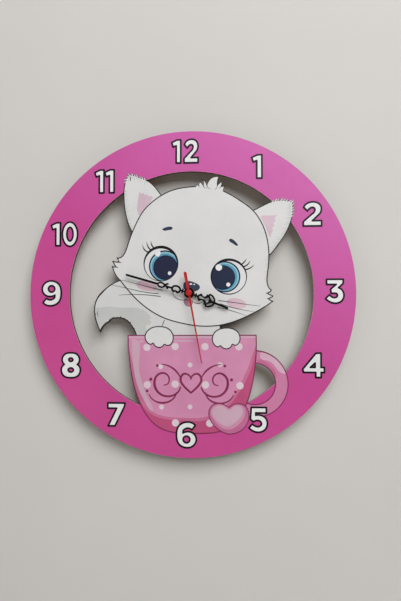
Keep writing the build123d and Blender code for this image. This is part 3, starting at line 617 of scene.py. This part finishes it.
ink("ink_tail_and_body", 0.14, TAIL_FUR, [TAIL_AREA])
TAIL_SHADE = outline(
    [(-106, -13.6), (-98, -15.4), (-88, -14.2), (-76, -15.4), (-58, -15.4), (-50.5, -17.4), (-45.6, -21)],
    [(-41, -27.4)], [(-43.6, -27.6), (-42.6, -33), (-45.6, -34)], [(-46, -40), (-52, -50)], [(-106, -50)],
)
ink("ink_tail_shade", 0.16, GREY_SHADE, [TAIL_SHADE], within=[TAIL_AREA])
tail_lines = edge_line(TAIL_AND_BODY, 1.15, skip=(3, 4, 5, 6, 7))
TAIL_BACK = [(-78, 14), (-86, 9.2), (-93.4, 3), (-99.6, -4), (-103, -12), (-103.6, -20)]
tail_lines += stroke(TAIL_BACK, 1.9, 0.4, 0.5)
ARCH_UNDER_TAIL = TAIL_AND_BODY[2]
tail_lines += tufts(ARCH_UNDER_TAIL, 3.8, 3.2, 2.0, 1.2)
tail_lines += stroke([(-101.6, -21), (-102.6, -25), (-101.4, -30)], 0.8, 0.4, 0.4)
tail_lines += stroke([(-99.6, -19), (-100.2, -22), (-98.8, -25.4)], 0.6, 0.4, 0.3)
tail_lines += stroke([(-27, -29), (-28.4, -32), (-29.6, -35.4)], 0.8, 0.8, 0.5)
ink("ink_tail_lines", 0.18, DARK_LINE, tail_lines, within=[TAIL_AREA])

ink("ink_ears", 0.20, FUR, EARS)
LEFT_INNER_EAR = outline(
    [(-55.6, 85)], [(-57, 90), (-56.6, 99), (-55.4, 107)], [(-54.8, 110.2)], [(-52, 107.6)],
    [(-50.8, 109.2)], [(-48.4, 106.2)], [(-46.8, 107.4)], [(-44.2, 104.8)], [(-42.8, 105.8)],
    [(-39.6, 103.6)], [(-52, 84)],
)
RIGHT_INNER_EAR = outline(
    [(75.8, 81.2)], [(77.6, 82.6), (85, 82.3)], [(93, 82.8)], [(90.2, 78.8)], [(91.8, 77)], [(89.2, 73.8)],
    [(90.4, 71.6)], [(88, 68.6)], [(88.8, 66)], [(86.8, 62.6)],
    [(86.2, 58.4), (84.4, 61.6), (81.1, 69.4), (78.2, 75.6)],
)
ink("ink_inner_ears", 0.22, INNER_EAR, [LEFT_INNER_EAR, RIGHT_INNER_EAR], within=EARS)
ear_lines = edge_line(LEFT_EAR, 1.0, skip=(0, 3, 4)) + edge_line(RIGHT_EAR, 1.0, skip=(0, 3))
ear_lines += stroke([(-66.4, 128.4), (-64.6, 125), (-64.8, 121.6)], 1.0, 0.8, 0.3)
ink("ink_ear_lines", 0.24, DARK_LINE, ear_lines, within=EARS)

# The ears' upper edges end in fur that breaks the line, and their insides are softly hatched.
LEFT_EAR_TOP = [(-70, 121), (-67.4, 127), (-64.6, 128.9), (-60, 127.7), (-52.5, 125), (-44.6, 121.4)]
RIGHT_EAR_TOP = [(86, 96.6), (92, 98), (98, 98.6), (103, 98), (109, 96.2)]
RIGHT_EAR_SIDE = [(109.2, 96.4), (109.9, 89), (108.4, 79)]
RIGHT_EAR_LOWER = [(108, 95), (109, 88), (107, 75.8), (101, 61.4), (93, 50), (84, 40.6)]
LEFT_EAR_SIDE = [(-58, 63.6), (-62.8, 66.4), (-67.6, 78), (-70.4, 89.4), (-71.8, 101), (-71.9, 112)]
fur_edges, fur_points, hatching = [], [], []
# Each furry edge, how high its fur stands, and how far it leans along the edge
FURRY = [(LEFT_EAR_TOP, 1.8, -2.4), (RIGHT_EAR_TOP, 2.4, 3.4), (RIGHT_EAR_SIDE, 1.8, -2.6)]
for points, height, lean in FURRY:
    fur_edges += tufts(points, 3.0, 2.9, height + 0.5, lean, root=0.6)
    fur_points += tufts(points, 3.0, 2.5, height, lean, root=1.8)
for points, lean in ((LEFT_EAR_TOP, 2.2), (RIGHT_EAR_LOWER, 2.8), (LEFT_EAR_SIDE, 2.2)):
    hatching += tufts(points, 2.4, 1.2, -5.6, lean)
ink("ink_ear_hatching", 0.22, SOFT_SHADE, hatching, within=EARS)
ink("ink_ear_fur_edge", 0.22, FUR_EDGE, fur_edges, EARS, [circle(0, 0, RING_OUTER - 2 * INK_MARGIN)])
ink("ink_ear_fur", 0.25, FUR, fur_points)

ink("ink_head", 0.26, FUR, [HEAD_AREA], [WASHER])
cheeks = [ellipse(-46.5, 8, 11.5, 5.6, -12), ellipse(50, -11, 10.5, 5.4, -10)]
ink("ink_cheeks", 0.29, BLUSH, cheeks, within=[HEAD_AREA])
CHEEK_EDGE = [(84.2, 40), (84.4, 30), (83.4, 20), (82.6, 11)]
cheek_hatching = tufts(CHEEK_EDGE, 2.6, 1.2, -4.4, 3.0)
ink("ink_cheek_hatching", 0.29, SOFT_SHADE, cheek_hatching, within=[HEAD_AREA])

ink("ink_handle", 0.26, HANDLE_INK, [circle(*HANDLE_OUTER)], [circle(*HANDLE_INNER), MUG_AREA])
HANDLE_LIGHT = loop(
    (75, -63.6), (84, -65), (91.4, -69.2), (98, -76.4), (101.4, -85), (96.6, -84), (90, -77),
    (83, -71.6), (75.6, -69),
)
HANDLE_BLUSH = loop(
    (72, -71), (80, -72.4), (87.4, -78.4), (91.6, -88), (90, -92), (85, -83), (77, -76), (72, -74.6),
)
ink("ink_handle_light", 0.29, HANDLE_PALE, [HANDLE_LIGHT])
ink("ink_handle_blush", 0.29, MUG_HALF, [HANDLE_BLUSH], [circle(*HANDLE_INNER)])
ink("ink_mug", 0.30, MUG_DEEP, [MUG_AREA])
MUG_TURNING = loop(
    (-74, -42), (-70, -80), (-62, -102), (-52, -118), (-42, -128.4), (-30, -133.4), (-12, -135.4),
    (10, -135.8), (24, -133.2), (36, -126), (47, -113), (55, -101), (61, -90), (66, -78), (70, -64),
    (74, -42), (0, -36),
)
MUG_FRONT = loop(
    (-62.6, -44), (-61.4, -75), (-58.6, -91), (-53.6, -105.6), (-47.8, -116.8), (-41.4, -125),
    (-33, -129.6), (-22, -131.8), (-8, -132.6), (8, -132.6), (20, -130.6), (30, -126), (39, -118.4),
    (45, -111), (52, -100.6),
    (57.4, -89), (62.4, -78), (66.4, -66), (70, -48), (60, -40), (0, -38), (-56, -40),
)
ink("ink_mug_turning", 0.32, MUG_HALF, [MUG_TURNING], within=[MUG_AREA])
ink("ink_mug_front", 0.34, MUG_PINK, [MUG_FRONT], within=[MUG_AREA])
MUG_STRIPE = outline(
    [(-62.4, -49.5), (-60.8, -75), (-58, -91), (-53, -105.6), (-47.4, -116.6), (-42.6, -124.4)],
    [(-40, -126.4)],
    [(-38.4, -124), (-42.6, -116.6), (-47.4, -106), (-51.4, -94), (-54.6, -80), (-58, -49.5)],
)
RIM_BAND = outline([(-66, -45.6)], [(70.4, -45)], [(70.4, -47.8)], [(-66, -48.4)])
rim_lights = [ellipse(-6, -51, 11.5, 1.1), ellipse(-52, -51.4, 2.6, 1.2), ellipse(-45.5, -51, 1.6, 0.8)]
ink("ink_mug_stripe", 0.36, MUG_PALE, [MUG_STRIPE, RIM_BAND, *rim_lights])
BIG_DOTS = [(-46, -58), (-15.5, -57), (16.5, -57), (52.5, -57), (-45.5, -98), (-15.5, -97), (17, -97.5),
            (53.5, -98), (-15, -138), (21.5, -138)]
SMALL_DOTS = [(-31, -78.5), (0.5, -76.5), (32.5, -76), (-30, -121.5), (0.5, -121)]
DOTS = [circle(x, z, 3.9) for x, z in BIG_DOTS] + [circle(x, z, 2.6) for x, z in SMALL_DOTS]
ink("ink_mug_dots", 0.39, MUG_DOT, DOTS)


def both_ways(points, middle):
    """The points, and the same ones mirrored about x = middle."""
    return points, [(2 * middle - x, z) for x, z in points]


FLOURISH_MIDDLE = 1.5
SCROLL = [(12.6, -100), (18, -107.6), (27, -110), (36.4, -106), (40.6, -97.4), (38.4, -88.6), (31.6, -85.2),
          (25.6, -88.8), (25.4, -95.4), (30.4, -98)]
TENDRIL = [(17, -106), (22, -113.8), (31.6, -117), (41, -114.6), (46.4, -108)]
SPRAY = [(12, -92), (17, -83.6), (24.6, -78), (33.4, -76)]
HEART_SIDE = [(FLOURISH_MIDDLE, -106), (-6.4, -98.6), (-9.6, -91.4), (-6, -86), (-1.2, -87),
              (FLOURISH_MIDDLE, -91.4)]
flourish = []
for side in both_ways(HEART_SIDE, FLOURISH_MIDDLE):
    flourish += stroke(side, 2.2, 0.9, 0.7, 1.15)
for points, width in ((SCROLL, 2.5), (TENDRIL, 2.0), (SPRAY, 1.9)):
    for side in both_ways(points, FLOURISH_MIDDLE):
        flourish += stroke(side, width, 0.6, 0.45, 1.1)
for x, z, size in ((44.6, -92, 1.7), (37.6, -77.4, 1.5), (48.6, -104.6, 1.4)):
    for side in both_ways([(x, z)], FLOURISH_MIDDLE):
        flourish.append(circle(*side[0], size))
ink("ink_mug_flourish", 0.43, FLOURISH, flourish)

HEART_MIDDLE = loop(
    (23, -124), (26.6, -119.6), (32, -118), (37.6, -119.6), (42, -122.4), (46.6, -119), (52.4, -118),
    (57.6, -120.6), (59.2, -126), (55.8, -134.4), (49.8, -140.6), (41, -144.2), (33, -141.6),
    (26, -134.4), (22.6, -128.6),
)
HEART_LIGHT = loop(
    (24, -124.4), (27.4, -120.6), (32, -119.2), (37.2, -120.8), (42, -124), (46.6, -120.4),
    (52, -119.4), (55.6, -121.6), (56.4, -125.4), (52.8, -132.2), (47, -137.6), (40, -140.8),
    (33.4, -138.4), (26.8, -132.6), (23.8, -128.2),
)
ink("ink_heart", 0.45, HEART_DEEP, [closed(HEART)])
ink("ink_heart_middle", 0.47, HEART_HALF, [HEART_MIDDLE])
ink("ink_heart_light", 0.49, HEART_PALE, [HEART_LIGHT])
ink("ink_paws", 0.48, FUR, [closed(LEFT_PAW), closed(RIGHT_PAW)])

# ---------------------------------------- lines

# The runs of HEAD that are the tuft at its top, which has a thinner line
TOPKNOT = range(1, 13)
kitten_lines = edge_line(HEAD, LINE, skip=TOPKNOT)
kitten_lines += edge_line(HEAD, 0.45, skip=set(range(len(HEAD))) - set(TOPKNOT))
FRINGE = [
    [(14.6, 115.5), (16, 113.4), (18.4, 112.4)], [(18.6, 115.4), (20.2, 112.8), (22.6, 111.6)],
    [(29.8, 115.8), (28.8, 112.6), (26.6, 111)], [(9.6, 115.6), (11.4, 113.6)],
    [(33.6, 114.2), (31.6, 111.8)],
]
for points in FRINGE:
    kitten_lines += stroke(points, 0.6, 1.0, 0.3, 0.8)
CHEEK_TUFTS = [
    [(-77.4, 34.2), (-74.4, 33.2)], [(-80.8, 28.9), (-77.8, 28)], [(83.4, -0.4), (81, -0.2)],
    [(84.4, -6.4), (82.2, -6)],
]
for points in CHEEK_TUFTS:
    kitten_lines += stroke(points, 1.3, 1.0, 0.4)
ink("ink_kitten_lines", 0.32, DARK_LINE, kitten_lines)
paw_lines = edge_line(LEFT_PAW, LINE) + edge_line(RIGHT_PAW, LINE)
ink("ink_paw_lines", 0.51, DARK_LINE, paw_lines)

WHISKERS = [
    [(-77, 15), (-60, 11), (-45, 7), (-29.5, 3.3)], [(-84, 9), (-70, 6), (-55, 2.5), (-34, -0.2)],
    [(-77, -2), (-65, -1.2), (-50, -1.5), (-31.5, -3.5)], [(31, -8), (45, -9.8), (60, -12), (75, -13.8)],
    [(33, -11.5), (48, -16), (60, -18.5), (69, -20)], [(30.5, -15), (40, -17.5), (50, -20.5), (60, -24)],
]
whiskers = []
for points in WHISKERS:
    starts_at_tip = points[0][0] < 0
    start, end = (0.3, 1.0) if starts_at_tip else (1.0, 0.3)
    whiskers += stroke(points, 0.95, start, end, 0.8)
ink("ink_whiskers", 0.35, PALE_LINE, whiskers, [WASHER])

MOUTH = [
    [(-18, 2), (-17.5, -1.5), (-14.5, -5), (-10.5, -7), (-6, -7.2), (-2.5, -6)],
    [(2.5, -8), (5, -10), (8, -11), (11, -10.7), (14, -9), (16, -6)],
]
mouth = []
for points in MOUTH:
    mouth += stroke(points, 0.9, 0.5, 0.5)
TONGUE_EDGE = [(-6, -7.2), (-5.6, -10.4), (-3.5, -13), (-0.5, -14), (2, -12.8), (3.2, -9)]
ink("ink_tongue", 0.32, TONGUE, [loop(*TONGUE_EDGE, (0, -6.6))], [WASHER])
mouth += stroke(TONGUE_EDGE, 0.7, 0.7, 0.5)
ink("ink_mouth", 0.35, PALE_LINE, mouth, [WASHER])

NOSE = loop(
    (-6.8, 8.4), (-5.5, 11.8), (-2.5, 13), (1, 12.8), (5, 11.5), (9, 9.5), (11, 7), (10.4, 4.4),
    (7.5, 2.5), (3, 1), (-3, 2.4), (-6.3, 5),
)
ink("ink_nose", 0.35, SLATE, [NOSE], [WASHER])
BROWS = [
    loop((-29.5, 68.6), (-26, 71), (-22, 71.8), (-18.9, 71), (-18.3, 69.6), (-19.5, 68.5), (-23, 68),
         (-28, 67.6)),
    loop((42.2, 56.3), (43, 57.7), (45, 57.8), (48, 55.8), (51, 52.5), (51.8, 50.9), (50.3, 50.4),
         (47.5, 52), (43.6, 54.4)),
]
ink("ink_brows", 0.32, SLATE, BROWS)
FRECKLES = [circle(x, z, 0.45) for x, z in ((2, 27), (0, 24), (11.5, 25.5), (5, 30), (8, 22.5))]
ink("ink_freckles", 0.29, GREY_SHADE, FRECKLES)

# ---------------------------------------- eyes

# The x and z of each ellipse's or circle's middle, and its radii or radius
EYES = [
    {"outer": (-31, 32, 18.9, 19.3), "white": (-31.1, 30.8, 17.6, 17.4), "iris": (-26.8, 29, 17.2),
     "inner": (-26.4, 28.2, 14.6), "pupil": (-26, 27.5, 13.3),
     "lashes": [[(-45.4, 44.6), (-49.6, 48), (-51, 52.4)], [(-42.4, 47), (-45.4, 51), (-46.4, 55.6)],
                [(-39.2, 49.4), (-41.2, 52.4), (-41.8, 56.2)]]},
    {"outer": (41.8, 17.6, 19.4, 19.3), "white": (42, 16.8, 18.2, 17.4), "iris": (37.5, 17.3, 16.7),
     "inner": (36.6, 16.9, 14.6), "pupil": (35.5, 16.5, 13.2),
     "lashes": [[(56.2, 31), (58.4, 33), (60.6, 36.4)], [(58.4, 28.2), (62, 30.4), (64.4, 34.2)],
                [(60.2, 25), (64.4, 26.4), (68.6, 29.8)]]},
]
eye_outers = [ellipse(*eye["outer"]) for eye in EYES]
eye_whites = [ellipse(*eye["white"]) for eye in EYES]
lashes = []
for eye in EYES:
    for points in eye["lashes"]:
        lashes += stroke(points, 1.4, 1.0, 0.25, 0.8)
ink("ink_eye_outline", 0.38, BLACK, eye_outers + lashes)
ink("ink_eye_white", 0.41, EYE_WHITE, eye_whites)

# What each layer of both eyes is called, its height and ink, its circle, and how far inside that it stops
EYE_LAYERS = [
    ("ink_iris_rim", 0.44, IRIS_DARK, "iris", 0.0), ("ink_iris_light", 0.46, IRIS_PALE, "iris", 1.5),
    ("ink_iris", 0.48, IRIS, "inner", 0.0), ("ink_pupil_rim", 0.50, IRIS_DARK, "pupil", 0.0),
    ("ink_pupil", 0.52, PUPIL, "pupil", 0.9),
]
for name, height, colour, part, inset in EYE_LAYERS:
    discs = [circle(x, z, radius - inset) for x, z, radius in (eye[part] for eye in EYES)]
    ink(name, height, colour, discs, within=eye_whites)
GLINT = outline(
    [(-37.6, 42.2)], [(-34, 45.8), (-32.2, 45.4)], [(-31.8, 41.4)], [(-33.6, 39.4)], [(-35.8, 39.8)],
)
glints = [circle(-21.5, 21.5, 2.0), circle(31.3, 27.3, 3.5), circle(41.3, 9, 2.2), GLINT]
ink("ink_eye_lights", 0.55, WHITE, glints)
nose_lights = [ellipse(1.4, 9.8, 1.5, 0.9, -10), circle(5, 9.3, 0.8)]
ink("ink_nose_lights", 0.38, WHITE, nose_lights)

# ---------------------------------------- mug lines

handle_lines = strip(all_round(circle(*HANDLE_OUTER)), LINE, 0.0)
handle_lines += strip(all_round(circle(*HANDLE_INNER)), 0.0, LINE)
ink("ink_handle_lines", 0.31, ROSE_LINE, handle_lines, [MUG_AREA])
ink("ink_mug_lines", 0.42, ROSE_LINE, edge_line(MUG, LINE))
ink("ink_heart_line", 0.51, ROSE_LINE, edge_line(HEART, 0.9))

# ---------------------------------------- numerals


def corners(*points):
    """An outline with a corner at every point."""
    return run_paths([[point] for point in points])


def oval(x, z, wide, high):
    return [all_round(ellipse(x, z, wide, high))]


SIX = [
    run_paths([
        [(20.1, 23.7), (11, 27), (2.8, 23.2), (0, 13), (2.8, 3.6), (11, 0), (18.5, 2.8), (21.1, 9.2),
         (18.4, 14.8), (12.2, 16.9)],
        [(6.9, 15.4)], [(7.2, 18.2), (11.2, 20.6)], [(16.5, 19.1)],
    ]),
    oval(10.7, 8.7, 3.6, 3.6),
]
# Each digit as its outline and then the holes in it. Each of these is a list of curves.
DIGITS = {
    "0": [oval(8.4, 13.2, 8.4, 13.2), oval(8.4, 13.2, 3.5, 7.6)],
    "1": [corners((5.4, 0), (10.8, 0), (10.8, 25), (6.2, 25), (0, 22.3), (1.6, 17.6), (5.4, 18.8))],
    "2": [run_paths([
        [(0, 0)], [(19, 0)], [(19, 5.5)], [(9.4, 5.4)],
        [(16.7, 12.4), (18.8, 16.9), (18.1, 21.5), (14.9, 24.4), (9.9, 25.4), (4.8, 24.3)], [(0.5, 19.9)],
        [(4.4, 16), (7.1, 18.8), (9.9, 19.7), (12, 18.3), (12, 16)], [(9.4, 12.8)], [(0, 4.6)],
    ])],
    "3": [run_paths([
        [(1.2, 25)], [(18.4, 25)], [(18.2, 20.6)],
        [(13.4, 16.2), (17.2, 13.6), (19, 7.8), (16.6, 2.4), (10.8, 0), (4.6, 1.4)], [(0, 4.8)],
        [(3.9, 8.7), (6.4, 6.7), (9.4, 5.8), (12.2, 7.4), (11.6, 9.9), (8.9, 10.5)], [(5.9, 10.3)],
        [(5.3, 14.7)], [(11.2, 19.7)], [(1.2, 19.7)],
    ])],
    "4": [
        corners((13.6, 25.2), (18.9, 25.5), (18.9, 10.5), (22.3, 10.5), (22.3, 5.3), (18.9, 5.3), (18.9, 0),
                (13.4, 0), (13.4, 5.3), (0.7, 5.3), (0, 8.7)),
        corners((12.8, 15.1), (12.8, 10.5), (7.9, 10.5)),
    ],
    "5": [run_paths([
        [(2.3, 25.9)], [(18.1, 25.9)], [(18.1, 20.2)], [(7, 20.2)],
        [(7, 17.7), (12.8, 17.6), (17.6, 14.4), (19.1, 9), (16.6, 2.8), (9.6, 0), (3.6, 1.5)], [(0, 4.4)],
        [(3.2, 8.5), (6.5, 6.3), (10.4, 5.9), (13, 8.6), (11.5, 11.6), (7.4, 12.2)], [(4.6, 10.8)],
        [(1.4, 13.5)],
    ])],
    "6": SIX,
    "7": [corners((0, 24.3), (18.7, 24.3), (17.9, 20.6), (7.9, 0), (0.5, 0), (9.7, 18.8), (0, 18.8))],
    "8": [
        run_paths([
            [(7.1, 14.3), (10.5, 8), (7.6, 1.9), (0, 0), (-7.6, 1.9), (-10.5, 8)],
            [(-7.1, 14.3), (-9.4, 20.9), (-6.6, 25.3), (0, 26.8), (6.6, 25.3), (9.4, 20.9)],
        ]),
        oval(0, 19.4, 2.3, 1.9), oval(0, 8.3, 3.0, 2.3),
    ],
    "9": [[np.array([21.1, 27.0]) - curve for curve in contour] for contour in SIX],
}
# Each digit: where its lower left corner is, and how much it is narrowed. An 8 is placed by the
# middle of its foot.
DIAL = [
    ("1", -19.4, 140.6, 0.90), ("2", -6.1, 140.6, 0.80), ("1", 66.5, 122.5, 1.0), ("2", 120.6, 70.6, 1.0),
    ("3", 143.2, -11, 1.0), ("4", 119.2, -88.7, 1.0), ("5", 63, -146.5, 1.0), ("6", -13.9, -164, 1.0),
    ("7", -88.1, -142.1, 1.0), ("8", -129.1, -91.1, 1.0), ("9", -161.5, -13.2, 1.0),
    ("1", -151.9, 52.4, 0.93), ("0", -139.5, 51.6, 1.0), ("1", -103.8, 109.6, 0.93),
    ("1", -92.8, 109.6, 0.95),
]
NUMERAL_LINE = 1.9
fills, counters, outlines_ink = [], [], []
for digit, left, bottom, narrow in DIAL:
    for number, contour in enumerate(DIGITS[digit]):
        curves = [curve * (narrow, 1.0) + (left, bottom) for curve in contour]
        (counters if number else fills).append(np.concatenate([curve[:-1] for curve in curves]))
        for curve in curves:
            outlines_ink += strip(curve, NUMERAL_LINE / 2, NUMERAL_LINE / 2)
            outlines_ink.append(circle(*curve[0], NUMERAL_LINE / 2))
ink("ink_numerals", 0.54, WHITE, fills, counters)
ink("ink_numeral_outlines", 0.57, BLACK, outlines_ink)

# ---------------------------------------- finishes of the CAD parts

# Circles sunk into the cover: two around the setting knob, a large one above the hands' axis, and
# the round marks that the mould's pins left in three corners, each with painted shade in its groove. Sizes
# are in metres.
KNOB_LOW, KNOB_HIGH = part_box("setting_knob")
KNOB_X, KNOB_Z = (KNOB_LOW.x + KNOB_HIGH.x) / 2, (KNOB_LOW.z + KNOB_HIGH.z) / 2
COVER_LOW, COVER_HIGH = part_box("movement_back_cover")
PIN_INSET, PIN_RADIUS = 0.0055, 0.0018
PIN_LEFT, PIN_RIGHT = COVER_LOW.x + PIN_INSET, COVER_HIGH.x - PIN_INSET
PIN_BOTTOM, PIN_TOP = COVER_LOW.z + PIN_INSET, COVER_HIGH.z - PIN_INSET
PIN_MARKS = [(x, z, PIN_RADIUS)
             for x, z in ((PIN_LEFT, PIN_TOP), (PIN_RIGHT, PIN_BOTTOM), (PIN_RIGHT, PIN_TOP))]
COVER_RINGS = [(KNOB_X, KNOB_Z, 0.0078), (KNOB_X, KNOB_Z, 0.0086), (0.0, 0.0085, 0.0105), *PIN_MARKS]
# Rings sunk into the knob's face, also with painted shade in their grooves.
KNOB_RINGS = [(KNOB_X, KNOB_Z, radius) for radius in (0.0034, 0.0022, 0.0010)]

FINISHES = {
    ("dial_plate",): fibreboard(),
    ("hour_hand", "minute_hand"): lacquer("black_lacquer", srgb(6, 6, 7)),
    ("second_hand", "second_hand_hub"): lacquer("red_lacquer", srgb(178, 20, 20), 0.35, 0.4),
    ("threaded_bushing", "brass_washer", "hex_nut", "minute_cannon"): metal("brass", srgb(205, 172, 104)),
    ("rubber_washer",): moulded("black_rubber", srgb(30, 30, 31), 900.0, 0.2, 0.8),
    ("movement_case_front",): moulded("black_case", srgb(26, 26, 28)),
    ("movement_back_cover",): moulded("black_cover", srgb(30, 30, 32), 2600.0, 0.25, 0.42, COVER_RINGS),
    ("setting_knob",): moulded("grey_knob", srgb(72, 73, 76), 1800.0, 0.2, 0.45, KNOB_RINGS),
    ("middle_plate",): moulded("grey_plate", srgb(120, 120, 124), 1500.0, 0.2),
    (
        "hour_wheel", "motion_wheel", "centre_drive_wheel", "second_wheel", "third_wheel", "fifth_wheel",
        "rotor_shaft",
    ): moulded("white_acetal", srgb(226, 224, 216), 1200.0, 0.1, 0.45),
    ("coil_bobbin",): moulded("natural_nylon", srgb(214, 206, 182), 1000.0, 0.15),
    ("stator", "coil_core"): metal("soft_iron", srgb(150, 150, 154), 0.4, (6000.0, 300.0, 300.0)),
    ("rotor_magnet",): metal("sintered_magnet", srgb(92, 92, 96), 0.5, (2000.0, 2000.0, 2000.0)),
    ("clutch_spring", "positive_contact", "negative_contact"): metal("spring_steel", srgb(186, 184, 178)),
    ("quartz_crystal", "battery_cap"): metal("bright_can", srgb(206, 206, 208), 0.22),
    ("chip_resin_drop",): lacquer("resin", srgb(16, 16, 18), 0.2, 0.5),
    ("circuit_board",): circuit_laminate(),
    ("coil_winding",): copper_winding(),
    ("battery_body",): cell_wrap(),
}
for names, material in FINISHES.items():
    for name in names:
        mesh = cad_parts[name].data
        mesh.materials.clear()
        mesh.materials.append(material)

# ---------------------------------------- stage, light, camera


def flat_stage(name, quad, material):
    """A four-cornered surface that isn't part of the clock."""
    mesh = bpy.data.meshes.new(name)
    mesh.from_pydata(quad, [], [[0, 1, 2, 3]])
    mesh.materials.append(material)
    piece = in_scene(name, mesh)
    return piece


def painted_wall():
    """Matt wall paint. It faces the room only, so a view from behind sees the clock's back."""
    paint = Finish("wall_paint", 0.9)
    paint.colour(paint.mix(paint.noise(6.0), srgb(206, 203, 200), srgb(212, 209, 205)))
    paint.bump(paint.noise(320.0, detail=5.0), 0.1, 0.0004)
    behind_it = paint.node("ShaderNodeNewGeometry").outputs["Backfacing"]
    clear = paint.node("ShaderNodeBsdfTransparent").outputs[0]
    side = paint.node("ShaderNodeMixShader", {0: behind_it, 1: paint.shader.outputs[0], 2: clear})
    paint.join(side.outputs[0], paint.tree.nodes["Material Output"].inputs["Surface"])
    return paint.material


# The room, in metres. The wall is just behind the movement's back.
WALL_Y, WALL_TOP, FLOOR_Z = 0.0004, 2.4, -1.1
HALF_WIDTH, HALF_DEPTH = 3, 4
wall_quad = [
    (-HALF_WIDTH, WALL_Y, FLOOR_Z), (HALF_WIDTH, WALL_Y, FLOOR_Z),
    (HALF_WIDTH, WALL_Y, WALL_TOP), (-HALF_WIDTH, WALL_Y, WALL_TOP),
]
wall = flat_stage("wall", wall_quad, painted_wall())
floor_paint = Finish("floor", 0.8)
floor_paint.colour(floor_paint.mix(floor_paint.noise(8.0), srgb(214, 211, 207), srgb(220, 217, 213)))
floor_quad = [
    (-HALF_WIDTH, -HALF_DEPTH, FLOOR_Z), (HALF_WIDTH, -HALF_DEPTH, FLOOR_Z),
    (HALF_WIDTH, HALF_DEPTH, FLOOR_Z), (-HALF_WIDTH, HALF_DEPTH, FLOOR_Z),
]
flat_stage("floor", floor_quad, floor_paint.material)


def soft_light(name, place, target, size, watts, tint=(1, 1, 1)):
    lamp = bpy.data.lights.new(name, "AREA")
    lamp.shape = "SQUARE"
    lamp.size = size
    lamp.energy = watts
    lamp.color = tint
    made = in_scene(name, lamp)
    made.location = place
    made.rotation_euler = (Vector(target) - Vector(place)).to_track_quat("-Z", "Y").to_euler()
    return made


soft_light("key", (0.65, -1.75, 1.1), (0, 0, 0), 1.4, 42.0, (0.975, 0.99, 1.0))
soft_light("fill", (-1.3, -1.5, 0.1), (0, 0, 0), 1.4, 2.0, (0.97, 0.99, 1.0))
behind = soft_light("behind", (-0.9, 1.5, 0.9), (0, 0, 0), 1.0, 38.0)

# The wall lets the lamp behind it through, so that the clock's back can be seen.
unblocked = bpy.data.collections.new("light_from_behind")
unblocked.objects.link(wall)
unblocked.collection_objects[0].light_linking.link_state = "EXCLUDE"
behind.light_linking.blocker_collection = unblocked
# Its light isn't passed on from the clock's back to the wall, where it would fill the shadows.
behind.data.cycles.max_bounces = 0

world = bpy.data.worlds.new("studio")
world.use_nodes = True
sky = world.node_tree.nodes["Background"]
sky.inputs["Color"].default_value = (1.0, 0.93, 0.86, 1.0)
sky.inputs["Strength"].default_value = 0.2
bpy.context.scene.world = world
bpy.context.scene.view_settings.view_transform = "Standard"

CAMERA_PLACE = Vector((54.9, -572.1, -25.2)) * MM + Vector((0, PLATE_FRONT, 0))
CAMERA_TARGET = Vector((11.67, 0, -7.87)) * MM + Vector((0, PLATE_FRONT, 0))
camera_data = bpy.data.cameras.new("camera")
camera_data.lens = 32.2
camera_data.sensor_width = 36.0
camera = in_scene("camera", camera_data)
camera.location = CAMERA_PLACE
camera.rotation_euler = (CAMERA_TARGET - CAMERA_PLACE).to_track_quat("-Z", "Y").to_euler()
bpy.context.scene.camera = camera

bpy.context.view_layer.update()
